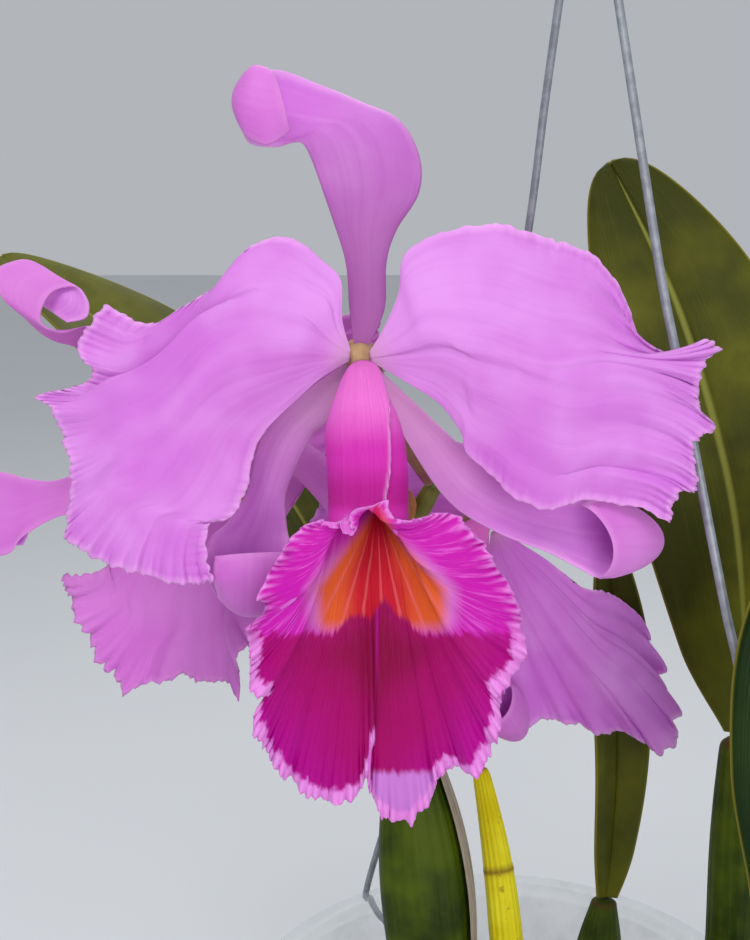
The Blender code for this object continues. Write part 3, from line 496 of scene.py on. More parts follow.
def paperMaterial(name, low, high, opacity):
    s = Shade(name)
    fibres = s.grain(1.0, 3.0, s.trio(s.field("across") * 60.0, s.field("along") * 4.0), 0.6)
    cloud = s.grain(120.0, 3.0)
    body = s.blend(s.soft(fibres, 0.36, 0.66), low, high)
    body = s.blend(s.soft(cloud, 0.55, 0.75) * 0.5, body, low)
    return s.done(Base_Color=body, Roughness=0.6 + 0.2 * cloud, Alpha=opacity,
                  Normal=s.bump(fibres, 0.0004, 0.7))


# Blooms. The outlines lie in each bloom's own plane, as (x, z) or (x, z, y). They follow the
# solids' outlines, apart from the roots, the lip, the notch and the rolled sepal's end.

bloomReach = 325.0
baseRadius = 4.9
blooms = {
    "front": {
        "centre": (-45.7, -48.0, 354.0), "looks": (0.0, -0.9925, 0.1219), "detail": 1.0,
        "ovary": ((-26.4, -8.1, 312.9), (-36, -22, 331), (-43, -34, 347)), "pieces": {},
        "shapes": {},
    },
    "right": {
        "centre": (-9.0, 12.0, 298.0), "looks": (0.1, -1.0, 0.0), "detail": 0.66,
        "ovary": ((-31.4, 10.5, 283), (-22, 24, 285), (-12, 27, 293)),
        "pieces": {
            "petal_left": ((-0.95, 0.15, 0.16), (0.0, -1.0, 0.1), 0.62),
            "sepal_dorsal": ((0.5, 0.04, 0.85), (0.0, -1.0, 0.2), 0.9),
            "sepal_left": ((-0.52, 0.05, -0.86), (0.0, -1.0, 0.0), 0.6),
            "sepal_right": ((0.1, -0.22, -0.97), (0.1, -1.0, 0.0), 0.74),
            "lip": ((-0.42, -0.3, -0.86), (-0.2, -0.93, 0.3), 0.75),
        },
        "shapes": {"petal_right": "spreadPetal"},
    },
    "left": {
        "centre": (-94.5, -4.5, 332.0), "looks": (0.0, 1.0, 0.1), "detail": 0.66,
        "ovary": ((-37.0, -1.7, 263), (-58, -14, 286), (-84, -21, 318)),
        "pieces": {
            "petal_left": ((0.03, -0.05, -1.0), (0.1, 1.0, -0.05), 1.0),
            "petal_right": ((0.9, 0.24, 0.12), (-0.5, 0.8, 0.1), 0.66),
            "sepal_left": ((-0.84, 0.1, -0.5), (0.2, 1.0, -0.4), 1.12),
            "sepal_right": ((0.8, -0.2, -0.5), (0.1, 1.0, 0.0), 0.78),
            "lip": ((0.03, 0.12, -1.0), (-0.15, 1.0, 0.15), 0.7),
        },
        "shapes": {"sepal_dorsal": "rolledSepal"},
    },
}
ownWay = {"petal_left": 195.0, "petal_right": -4.0, "sepal_dorsal": 90.0, "sepal_left": 239.0,
          "sepal_right": -36.5, "lip": 270.0}

petals = {
    "petal_left": {
        "upper": ((-2.0, 0.7), (-4.4, 9), (-4.6, 18.5), (-8.5, 23), (-17, 29), (-27, 27),
                  (-35, 18), (-43.5, 12.5), (-52.5, 8), (-63, 13)),
        "outer": ((-37, -56.5), (-46.5, -57), (-55, -54.5), (-64, -52), (-73.5, -46),
                  (-73.5, -41.5), (-72.5, -28), (-76.5, -13.5), (-81, -10), (-69.5, -7),
                  (-66.5, -3.5), (-70, 0.5), (-68.5, 6), (-63, 13)),
        "lower": ((-2.4, -1.0), (-8.5, -4.5), (-14.5, -9.5), (-25, -20.5), (-28.5, -33.5),
                  (-32.5, -40.5), (-37.5, -41.5), (-38.5, -49), (-37, -56.5)),
        "depth": ((-1.2, -1.2, -1.2), (-3, -7, -3), (-6, -9, -1), (-9, -5, 3), (-10, 1, 9)),
        "pleats": (2.6, 27.0, 0.0, 0.42), "seed": 3.1,
    },
    "petal_right": {
        "upper": ((2.0, 0.7), (5.6, 6.5), (9.5, 15.5), (11, 25), (20, 30.5), (30, 32), (36, 32),
                  (48, 28.5), (56.5, 25.5), (64, 17), (69, 5)),
        "outer": ((77.5, -41.5), (79.5, -34), (84.5, -33), (83.5, -21.5), (88.5, -17.5),
                  (84.5, -12.5), (85.5, -1.5), (89.5, 2), (84.5, 4), (81.5, -1.5), (71.5, 2.5),
                  (66.5, -0.5), (69, 5)),
        "lower": ((2.4, -1.0), (12.5, -7), (20, -12), (25.5, -19.5), (26.5, -24), (34.5, -31),
                  (37, -34), (46, -38.5), (56.5, -36), (70.5, -38), (77.5, -41.5)),
        "depth": ((-1.2, -1.2, -1.2), (-3, -7, -3), (-5, -9, -4), (-4, -7, 0), (-3, 0, 5)),
        "pleats": (1.7, 21.0, 0.0, 0.8), "seed": 8.4, "notch": 12.0,
    },
}
sepals = {
    "sepal_dorsal": {
        "low": ((-1.4, 1.6, 1.0), (-2.6, 11.5, 1), (-3.5, 23, 0), (-6.5, 33, 0), (-9.5, 41.5, 1),
                (-12.5, 49.5, 4), (-14.5, 52, 6), (-17, 52, 7), (-21, 51, 6), (-27, 52, 3.5),
                (-29.3, 57, -0.5), (-27.5, 53.5, -4), (-22.5, 51.5, -5.5), (-17, 55, -5)),
        "high": ((1.6, 1.6, 1.0), (6.0, 11.5, 1), (6.5, 23, 0), (9, 31, 0), (14.5, 40, 1),
                 (14.5, 49, 4), (9.5, 57.5, 6.5), (0, 62, 8), (-10, 66, 8), (-20, 69.5, 5.5),
                 (-27.5, 68, 0.5), (-26, 70.5, -3.5), (-22.5, 70, -5), (-20.5, 68, -5)),
        "crown": (2.5, 2.5, 2.5, 2.5, 2.5, 2.5, 1.5, -1.0, -2.6, -2.6, -2.0),
        "bulge": ((0, 0, 0), (0, 0, 0)),
    },
    "sepal_left": {
        "low": ((-2.6, -1.2, 1.6), (-14.5, -9.5, 2.5), (-24.5, -20.5, 3), (-28, -33, 4),
                (-33, -41, 5), (-38, -46, 4), (-39, -54, 1), (-36, -60, -3), (-37, -55.5, -7),
                (-36.5, -50, -6.5)),
        "high": ((-1.0, -2.8, 1.6), (-7.5, -15, 2.5), (-12.5, -20.5, 3), (-18.5, -33.5, 4),
                 (-18.5, -42, 5), (-17.5, -48, 4), (-17, -56, 1), (-20, -62, -3),
                 (-18.5, -55, -7), (-18.5, -49, -6.5)),
        "crown": (-1.5, -1.5, -1.5, -1.5, -1.5, -1.0, 1.0, 3.6, 4.4, 4.0, 2.0),
        "bulge": ((0, 0, 0), (0, 0, 0)),
    },
    "sepal_right": {
        "low": ((1.0, -2.8, 1.6), (8.5, -16, 3), (21.5, -35.5, 3.5), (34.5, -44, 3.5),
                (47, -49, 3.5), (54, -52.6, 3), (58, -54.8, 2.2), (60, -55.6, 1.0),
                (60.8, -55.6, -1.0), (60.3, -55.2, -2.5)),
        "high": ((2.6, -1.2, 1.6), (20, -17.5, 3), (32, -28.5, 5), (45, -34.5, 6),
                 (53, -35.8, 5.5), (57, -35.2, 5), (60, -34.8, 3.6), (60, -34.8, 1.5),
                 (57.5, -35.8, -0.6), (55.4, -37, -2.2)),
        "crown": (2.5, 2.5, 2.5, 2.5, 2.5, 2.0, 1.5, 1.0, 0.0, 0.0, 0.0),
        "bulge": ((0, 0, 0), (0, 0, 0), (0, 0, 0), (0, 0, 0), (0, 0, 0), (1, 0, 1), (5, 0, 4),
                  (11.5, -0.5, 7.5), (16.0, -0.8, 8.0), (13, -0.6, 1.5), (5.5, -0.3, -3.5)),
    },
}
ownShapes = {  # pieces of the other two blooms with a shape of their own
    "spreadPetal": {
        "upper": ((3.9, -2.9), (10, -7), (19.4, -13), (30, -21.2), (37.3, -23.3), (41, -25.5),
                  (46.7, -30.6), (49.4, -35.5)),
        "outer": ((8.2, -66), (11.2, -67), (19.7, -64.5), (25.8, -65.5), (32.7, -67.6),
                  (36, -69.4), (43, -68.8), (50, -71.8), (56, -77), (58, -75.2), (60.6, -73.6),
                  (62.1, -69.7), (59.7, -66), (62.7, -63), (58.8, -59), (57.9, -55.5),
                  (54.5, -52.4), (57.7, -49.4), (55.6, -46.4), (51.2, -41.2), (51.8, -37.9),
                  (49.4, -35.5)),
        "lower": ((1.9, -4.65), (1, -14), (1.5, -26), (3.5, -40), (5, -54), (8.2, -66)),
        "depth": ((-1.2, -1.2, -1.2), (-3, -6, -3), (-5, -8, -4), (-4, -6, 0), (-3, -1, 3)),
        "pleats": (1.4, 14.0, 0.0, 1.0), "seed": 12.7,
    },
    "rolledSepal": {
        "low": ((-5.2, -0.1, -1.5), (-17, 9, -1), (-29.8, 18.5, 0), (-36.9, 21.3, -3),
                (-44, 27, -4), (-50.6, 33.2, -3), (-53.4, 37.8, 0), (-51.7, 41.2, 3),
                (-45.5, 42.6, 5), (-38.4, 39.8, 3), (-36.9, 35.5, 0), (-41.0, 31.0, 1)),
        "high": ((-3.6, 3.9, -1.5), (-13, 15, -2), (-22.7, 24.1, -4), (-27.8, 26.4, -8),
                 (-34.1, 25, -10), (-39.2, 27, -9), (-39.8, 31, -6), (-36.4, 35.5, -3),
                 (-30.7, 36.4, -2), (-27, 32.7, -3), (-27.6, 28.4, -5), (-33.0, 27.0, -5)),
        "crown": (0, 0), "bulge": ((0, 0, 0), (0, 0, 0)),
    },
}
lip = {
    "tube": (  # x, z, y of a ring's centre, half width, half depth, tilt
        (0.3, -5.0, -4.3, 3.6, 3.6, 80.0), (0.6, -9.5, -9.0, 6.0, 5.8, 55.0),
        (1.2, -18.5, -15.5, 9.3, 7.6, 35.0), (2.2, -29.0, -22.0, 9.8, 7.4, 22.0),
        (2.4, -38.5, -27.5, 9.7, 6.4, 8.0)),
    "seam": (3.6, -37.2, -35.0),
    "left": ((-1.2, -38.4, -37.0), (-2.2, -41.0, -37.8), (-0.8, -43.6, -38.2),
             (-3.4, -43.8, -38.2), (-5.0, -41.6, -37.4), (-7.0, -42.8, -37.0),
             (-10, -41, -36), (-15.5, -44, -34), (-20.5, -51, -33),
             (-24.5, -58.5, -32), (-24, -64.5, -32), (-28.5, -68.5, -31), (-27.5, -76, -31),
             (-27.5, -83.5, -30), (-24, -87, -30), (-27, -92, -28), (-24, -100, -25),
             (-17, -109, -21), (-9, -113.5, -19), (0, -111, -20), (3.5, -98, -24)),
    "right": ((7.2, -36.0, -35.5), (8.0, -39.2, -36.6), (10.2, -41.2, -36.8), (13, -41, -36),
              (19.5, -39.5, -34), (25.5, -40.5, -32), (31, -47, -32), (36, -54.5, -31),
              (40, -62, -31), (41.5, -70, -31), (41, -79, -30),
              (35.5, -85, -30), (36, -92, -28), (33.5, -100, -25), (29, -107, -22),
              (24.5, -104.5, -21), (20, -106, -20), (19, -112, -19), (15, -116.5, -18.5),
              (9.6, -119.8, -18), (4.5, -114.5, -19), (2.2, -109, -20.5), (3.9, -97.5, -24)),
    "frill": 2.3, "frills": 13.0, "crimps": 62.0, "teeth": 1.9, "seamTurn": (52, 46, 36, 33, 24),
    "overlap": 1.1, "rings": 16, "flareRows": 36, "half": 380,
}
thickness = {"petal": 0.62, "lip": 0.6}


def seen(points):
    # (x, z, y) of an outline, widened with its depth, as it was read from one viewpoint
    far = 1 + points[..., 2] / bloomReach
    return np.stack([points[..., 0] * far, points[..., 2], points[..., 1] * far], axis=-1)


def basis(way, face):
    u = Vector(way).normalized()
    n = Vector(face)
    n = (n - u * n.dot(u)).normalized()
    w = u.cross(n)
    return Matrix(((u.x, n.x, w.x), (u.y, n.y, w.y), (u.z, n.z, w.z)))


def pieceMatrix(form, piece):
    centre = Matrix.Translation(Vector(form["centre"]))
    if piece in form["shapes"]:
        return centre
    if piece not in form["pieces"]:
        look = Vector(form["looks"]).normalized()
        turn = basis((1, 0, 0), look) @ basis((1, 0, 0), (0, -1, 0)).transposed()
        return centre @ turn.to_4x4()
    way, face, size = form["pieces"][piece]
    own = math.radians(ownWay[piece])
    start = basis((math.cos(own), 0, math.sin(own)), (0, -1, 0))
    turn = basis(way, face) @ start.transposed()
    step = 0.0 if piece == "lip" else baseRadius * (1 - size)
    out = Matrix.Translation(Vector(way).normalized() * step)
    return centre @ out @ turn.to_4x4() @ Matrix.Scale(size, 4)


def frontOf(matrix):
    return matrix.to_3x3() @ Vector((0, -1, 0))


def moved(points, matrix):
    m = np.array(matrix)
    return points @ m[:3, :3].transpose() + m[:3, 3]


def petalGrid(form, rows, across):
    lower = evenly(form["lower"], 40)
    upper = evenly(form["upper"], 40)
    outer = evenly(form["outer"], 80)
    s, t = np.linspace(0, 1, rows + 1), np.linspace(0, 1, across + 1)
    low, high = onCurve(lower, s)[:, None], onCurve(upper, s)[:, None]
    near = (lower[0] + (upper[0] - lower[0]) * t[:, None])[None]
    far = onCurve(outer, t)[None]
    out, over = s[:, None, None], t[None, :, None]
    corners = ((1 - out) * ((1 - over) * lower[0] + over * upper[0])
               + out * ((1 - over) * lower[-1] + over * upper[-1]))
    flat = (1 - over) * low + over * high + (1 - out) * near + out * far - corners
    if "notch" in form:  # keeps the sheet from bulging out over the notch near its upper corner
        lean = 1 + form["notch"] * np.clip((over - 0.36) / 0.3, 0, 1) ** 2
        flat = flat - (out - out ** lean) * (far - (1 - over) * lower[-1] - over * upper[-1])
    net = onCurve(np.array(form["depth"], float).transpose(), t)
    y = onCurve(net.transpose(), s)
    out, over = out[..., 0], over[..., 0]
    y = y + 1.5 * out ** 5 * np.sin(9 * math.tau * over + 0.7)
    y = y + 1.2 * out * (1 - out) * np.abs(2 * over - 1) ** 5 * np.sin(5 * math.tau * out)
    # fine pleats that fan out to the rim, and a rim that is cut and toothed
    depth, count, start, stop = form["pleats"]
    seed = form["seed"]
    where = np.clip((over - start) / 0.08, 0, 1) * np.clip((stop - over) / 0.1, 0, 1)
    phase = 2.5 * rough(t * 6, seed)[None]
    y = y + depth * 0.42 * out ** 11 * (0.25 + 0.75 * where) * np.sin(count * math.tau * over + phase)
    y = y + 0.7 * out ** 18 * np.sin(2.3 * count * math.tau * over + 2 * phase)
    hem = np.abs(2 * over - 1) ** 14 * np.clip((out - 0.3) / 0.3, 0, 1)
    y = y + 0.9 * hem * np.sin(30 * math.tau * out + 2.0 * rough(s * 9, seed + 1)[:, None])
    outward = unit(np.gradient(flat, axis=0))
    cut = (0.9 * rough(t * 46, seed + 2) + 0.8 * rough(t * 120, seed + 3)
           + 0.35 * rough(t * 300, seed + 4))
    flat = flat + outward * (out ** 26 * cut[None])[..., None]
    sideways = unit(np.gradient(flat, axis=1))
    bite = 0.7 * rough(s * 34, seed + 5) + 0.5 * rough(s * 90, seed + 6)
    topMask = over ** 34 * np.clip((out - 0.25) / 0.2, 0, 1) * bite[:, None]
    lowMask = (1 - over) ** 34 * np.clip((out - 0.35) / 0.2, 0, 1) * bite[::-1][:, None]
    flat = flat + sideways * (topMask - lowMask)[..., None]
    points = seen(np.concatenate([flat, y[..., None]], axis=-1))
    return points, out, over


def sepalGrid(form, rows, across):
    s, t = np.linspace(0, 1, rows + 1), np.linspace(0, 1, across + 1)
    low, high = onCurve(form["low"], s), onCurve(form["high"], s)
    along = np.gradient(low + high, axis=0)
    face = unit(np.cross(along, high - low))
    over = t[None, :, None]
    arch = 1 - (2 * over - 1) ** 2
    crown = onCurve(np.array(form["crown"])[:, None], s)[:, None] * arch
    crown = crown * np.minimum(1, 4 * s)[:, None, None]
    points = low[:, None] + (high - low)[:, None] * over + face[:, None] * crown
    points = points + onCurve(form["bulge"], s)[:, None] * arch ** 0.7
    wave = 0.25 * np.abs(2 * over - 1) ** 3 * np.sin(7 * math.tau * s)[:, None, None]
    points = points + face[:, None] * wave
    return seen(points), s[:, None], t[None]


def seamAngle(z):
    # how far round the tube, in radians, the left flap's free edge lies at a height
    share = np.clip((-5.0 - z) / 33.5, 0, 1)
    return math.radians(1) * np.interp(share, np.linspace(0, 1, 5), lip["seamTurn"])


def overlapAt(angle, z):
    # the left flap lies over the right one and ends in a step
    gap = seamAngle(z) - angle
    rise = np.exp(-np.maximum(gap, 0) / 0.7) * np.clip(gap / 0.035, 0, 1)
    return lip["overlap"] * (rise - 0.35 * (gap < 0) * np.exp(gap / 0.5))


def lipRings(side, half):
    stations = onCurve(lip["tube"], np.linspace(0, 1, lip["rings"]))
    turn = math.pi * np.arange(half + 1) / half
    rings = []
    for x, z, y, wide, deep, tilt in np.concatenate([stations, [lip["tube"][-2]]]):
        c, s = math.cos(math.radians(tilt)), math.sin(math.radians(tilt))
        lap = overlapAt(side * turn, z)
        across, depth = side * (wide + lap) * np.sin(turn), -(deep + lap) * np.cos(turn)
        rings.append(seen(np.stack([x + across, z - depth * s, y + depth * c], axis=-1)))
    return rings[:-1], rings[-1]


def lipGrid(detail):
    half = round(lip["half"] * detail)
    count = round(lip["flareRows"] * detail)
    turn = np.arange(half + 1) / half
    halves, crests = {}, {}
    for side, key in ((-1, "left"), (1, "right")):
        rings, before = lipRings(side, half)
        edge = seen(evenly((lip["seam"],) + lip[key], half))
        mouth = rings[-1]
        gap = edge - mouth
        reach = np.linalg.norm(gap, axis=1, keepdims=True)
        leave = unit(mouth - before) * np.minimum(reach * 0.5, 14.0)
        seed = 5.0 + side
        calm = np.clip(turn / 0.06, 0, 1) * np.clip((1 - turn) / 0.03, 0, 1)
        sway = np.sin(lip["frills"] * math.tau * turn + 2.2 * rough(turn * 8, seed))
        flutter = np.sin(2.3 * lip["frills"] * math.tau * turn + 3 * rough(turn * 17, seed + 1))
        crimp = np.sin(lip["crimps"] * math.tau * turn + 4 * rough(turn * 22, seed + 5))
        curl = rough(turn * 13, seed + 6) + 0.6 * rough(turn * 29, seed + 7)
        teeth = (0.9 * rough(turn * 34, seed + 2) + 0.7 * rough(turn * 95, seed + 3)
                 + 0.5 * rough(turn * 240, seed + 4))
        crests[side] = [0 * turn] * len(rings)
        for i in range(1, count + 1):
            u = 1 - (1 - i / count) ** 1.5
            line = mouth + leave * (3 * u * (1 - u) ** 2) * 1.6 + gap * (3 * u * u - 2 * u ** 3)
            lift = lip["frill"] * u ** 5 * sway + 1.2 * u ** 8 * flutter + 0.85 * u ** 6 * crimp
            lift = (lift + 1.6 * u ** 9 * curl) * calm
            lift = lift * np.minimum(1, reach[:, 0] / 18)
            line[:, 1] -= lift
            outward = unit(gap)
            line = line + outward * (lip["teeth"] * u ** 16 * teeth * calm)[:, None]
            rings.append(line)
            # the crimps' raised crests, which the lip's colour lightens as a painted highlight
            crests[side].append(u ** 4 * crimp)
        halves[side] = np.array(rings)
    left, right = halves[-1], halves[1]
    left[:, 0] = right[:, 0] = (left[:, 0] + right[:, 0]) / 2
    back = (left[:, -1] + right[:, -1]) / 2
    points = np.concatenate([back[:, None], left[:, -2:0:-1], right[:, :-1]], axis=1)
    one, two = np.array(crests[-1]), np.array(crests[1])
    crest = np.concatenate([one[:, -1:], one[:, -2:0:-1], two[:, :-1]], axis=1)
    around = np.concatenate([[-1.0], -turn[-2:0:-1], turn[:-1]])
    down = 1 - (1 - np.arange(1, count + 1) / count) ** 1.5
    down = np.concatenate([np.zeros(lip["rings"]), down])
    shape = points.shape[:2]
    seam = np.zeros(shape)
    for i, station in enumerate(onCurve(lip["tube"], np.linspace(0, 1, lip["rings"]))):
        seam[i] = 0.8 * np.exp(-((seamAngle(station[1]) - 0.03 - math.pi * around) / 0.05) ** 2)
    return (points, np.broadcast_to(down[:, None], shape), np.broadcast_to(around[None], shape),
            seam, crest)


def addBloom(name, form, looks):
    detail = form["detail"]
    own = {piece: ownShapes[shape] for piece, shape in form["shapes"].items()}
    for piece in (*petals, *sepals):
        kind = piece.split("_")[0]
        outline = own.get(piece) or (petals if kind == "petal" else sepals)[piece]
        rows, steps = fineness[kind]
        if kind == "petal":
            points, along, across = petalGrid(outline, round(rows * detail), round(steps * detail))
        else:
            points, along, across = sepalGrid(outline, round(rows * detail), steps)
        matrix = pieceMatrix(form, piece)
        points = moved(points, matrix)
        look = looks["dorsal" if piece == "sepal_dorsal" else kind]
        sheetPiece("%s_bloom_%s" % (name, piece), points, sheetFields(points, along, across),
                   thickness["petal"], look, "bloom_%s_%s" % (name, piece),
                   frontOf(matrix))
    points, down, around, seam, crest = lipGrid(detail)
    far = 1 + points[..., 1] / bloomReach
    lipX, lipZ = points[..., 0] / far, points[..., 2] / far
    edge = rimDistance(points, True)
    matrix = pieceMatrix(form, "lip")
    points = moved(points, matrix)
    fields = {"flare": down, "around": around, "edge": edge, "seam": seam, "crest": crest,
              "lipX": lipX, "lipZ": lipZ}
    sheetPiece("%s_bloom_lip" % name, points, fields, thickness["lip"], looks["lip"],
               "bloom_%s_lip" % name, frontOf(matrix), True)
    addColumn(name, form, looks["column"])


def addColumn(name, form, material):
    # the ovary reaches the bloom's back; the column stands inside the lip's tube
    centre, look = Vector(form["centre"]), Vector(form["looks"]).normalized()
    matrix = pieceMatrix(form, "lip")
    size = form["pieces"]["lip"][2] if form["pieces"] else 1.0
    path = evenly(list(form["ovary"]) + [tuple(centre - look * 7.0)], 6).tolist()
    path += [tuple(centre - look * 2.2), tuple(centre + look * 1.8 * size)]
    for spot in ((0.2, -2.0, -4.2), (0.3, -4.6, -5.1), (0.6, -8.8, -9.9), (1.2, -14.0, -16.5)):
        path.append(tuple(matrix @ Vector(spot)))
    radii = [1.6, 2.0, 2.3, 2.5, 2.8, 3.4, 4.45, 3.9, 2.4, 2.2 * size, 2.0 * size, 2.3 * size,
             2.2 * size]
    rows, sides = fineness["column"]
    where = np.linspace(0, 1, rows)
    fine = onCurve(path, where)
    width = roundedEnds(onCurve(np.array(radii)[:, None], where)[:, 0])
    turn = roundTurn(sides)
    width = width[:, None] * (1 + 0.05 * np.cos(6 * turn)[None] * (where < 0.5)[:, None])
    ring = np.repeat(np.clip(1 - np.abs(where - 0.05) / 0.03, 0, 1), sides)
    tubePiece("%s_bloom_column" % name, tubeGrid(fine, width, sides), {"ring": ring}, material,
              "bloom_%s_column" % name)


# Canes, leaves, stalk and papery parts

canes = {
    "cane_flowering": {"foot": (-23, -10, 106), "bend": (-26, -19, 176), "top": (-32.5, -16, 238),
                       "wide": 13.2, "thick": 9.6, "footR": 6.0, "topR": 4.8, "ribs": 7,
                       "rise": 1.5, "rings": (0.4, 0.985), "look": "cane"},
    "cane_old_yellow": {"foot": (4, -14, 106), "bend": (-3, -3, 182), "top": (-9, 12, 217),
                        "wide": 5.2, "thick": 4.4, "footR": 4.4, "topR": 2.4, "ribs": 5,
                        "rise": 0.9, "rings": (0.5, 0.73, 0.99), "look": "yellowCane"},
    "cane_back": {"foot": (28, 14, 106), "bend": (31, 18, 140), "top": (33.4, 20.3, 167),
                  "wide": 8.8, "thick": 7.6, "footR": 5.2, "topR": 3.4, "ribs": 6,
                  "rise": 0.9, "rings": (0.97,), "look": "cane"},
    "cane_right": {"foot": (63, -3, 106), "bend": (71, -4, 166), "top": (70, 1, 232),
                   "wide": 10.5, "thick": 9.0, "footR": 5.4, "topR": 6.5, "ribs": 7,
                   "rise": 1.4, "rings": (0.45, 0.985), "look": "cane"},
    "cane_front_right": {"foot": (38, -44, 106), "bend": (47, -57, 160), "top": (58, -70, 196),
                         "wide": 9.6, "thick": 8.4, "footR": 5.4, "topR": 4.2, "ribs": 6,
                         "rise": 0.9, "rings": (0.5, 0.975), "look": "cane"},
}
leaves = {
    "leaf_flowering": {"rib": ((-37.6, -12.0, 239.4), (-49, 18, 258), (-72, 51, 296),
                               (-118, 70, 338), (-171, 85, 372)),
                       "half": (3, 14, 25, 27, 14), "face": (0.35, -0.5, 1.0), "keel": 0.30},
    "leaf_back": {"rib": ((33.6, 20.5, 167.6), (35, 22, 185), (36, 24, 215), (34, 26, 255),
                          (30, 27, 292)),
                  "half": (3.5, 7.5, 10, 10.5, 6), "face": (0.35, -1.0, 0.1), "keel": 0.55},
    "leaf_right": {"rib": ((70.2, 1.4, 233.1), (71, 8, 256), (68, 24, 303), (53, 38, 357),
                           (31, 47, 403)),
                   "half": (6, 19, 30, 29, 18), "face": (-0.1, -1.0, 0.25), "keel": 0.16},
    "leaf_front_right": {"rib": ((58.3, -70.3, 197.7), (61, -71, 215), (70, -70, 247),
                                 (80, -66, 293), (92, -60, 338)),
                         "half": (4.5, 8, 24, 31, 15), "face": (-0.2, -1.0, 0.15), "keel": 0.2},
}
stalk = {"path": ((-32.5, -15.5, 240.3), (-32.9, -13, 245), (-34, 0, 260), (-34, 8, 280),
                  (-30, 5, 298), (-25, -6, 312)),
         "radii": (3.2, 2.9, 2.7, 2.7, 2.6, 2.6, 2.6, 2.6, 2.6, 2.9, 2.5), "ring": 0.8}
bract = {"from": 0.15, "span": 0.75, "reach": 4.6, "flare": 2.4, "turn": 185.0, "spread": 62.0,
         "thick": 0.6}
sheath = {"from": 0.35, "to": 0.93, "off": 1.25, "turn": (-35.0, 75.0), "thick": 0.6}
leafThickness = 1.7


def canePath(form, u):
    return onCurve(evenly((form["foot"], form["bend"], form["top"]), 9), u)


def caneRadius(form, u):
    swell = np.maximum(0, np.sin(math.pi * u ** form["rise"])) ** 0.9
    ends = form["footR"] * (1 - u) + form["topR"] * u
    return ends + (form["wide"] - ends) * swell


def addCanes(looks):
    rows, sides = fineness["cane"]
    u = np.linspace(0, 1, rows)
    turn = roundTurn(sides)
    for name, form in canes.items():
        width = caneRadius(form, u)[:, None]
        grooves = 0.03 * np.cos(form["ribs"] * turn)[None]
        fine = 0.012 * np.cos((3 * form["ribs"] + 2) * turn)[None]
        rings = np.zeros(len(u))
        for place in form["rings"]:
            rings = np.maximum(rings, np.exp(-((u - place) / 0.009) ** 2))
        width = width * (1 + (grooves + fine) * np.sin(math.pi * u)[:, None] ** 0.4
                         + 0.035 * rings[:, None])
        width = width * roundedEnds(np.ones(len(u)), 4)[:, None]
        grid = tubeGrid(canePath(form, u), width, sides, (1, 0.1, 0), form["thick"] / form["wide"])
        tubePiece(name + "_skin", grid, {"ring": np.repeat(rings * 0.85, sides)},
                  looks[form["look"]], name)


def addLeaves(looks):
    rows, across = fineness["leaf"]
    u = np.linspace(0, 1, rows + 1)
    w = np.linspace(-1, 1, across + 1)[None]
    for name, form in leaves.items():
        material = looks["darkLeaf" if name == "leaf_front_right" else "leaf"]
        rib = onCurve(form["rib"], u)
        face = unit(np.array(form["face"], float))
        ahead = unit(onCurve(form["rib"], np.minimum(1, u + 0.02))
                     - onCurve(form["rib"], np.maximum(0, u - 0.02)))
        side = unit(np.cross(ahead, face[None]))
        up = unit(np.cross(side, ahead))
        half = onCurve(np.array(form["half"], float)[:, None], u)[:, 0]
        half = np.maximum(0.8, half * np.sqrt(np.maximum(0, 1 - u ** 7)))
        lift = form["keel"] * np.abs(w) * half[:, None] - 0.12 * half[:, None] * w * w
        lift = lift + 0.6 * np.sin(7 * u[:, None] + 2 * w) * np.abs(w)
        lift = lift - 0.5 * np.exp(-(w / 0.05) ** 2) * np.minimum(1, half / 6)[:, None]
        points = (rib[:, None] + side[:, None] * (w * half[:, None])[..., None]
                  + up[:, None] * lift[..., None])
        sheetPiece(name + "_blade", points, sheetFields(points, u[:, None], (w + 1) / 2),
                   leafThickness, material, name, form["face"], rim=3.0)


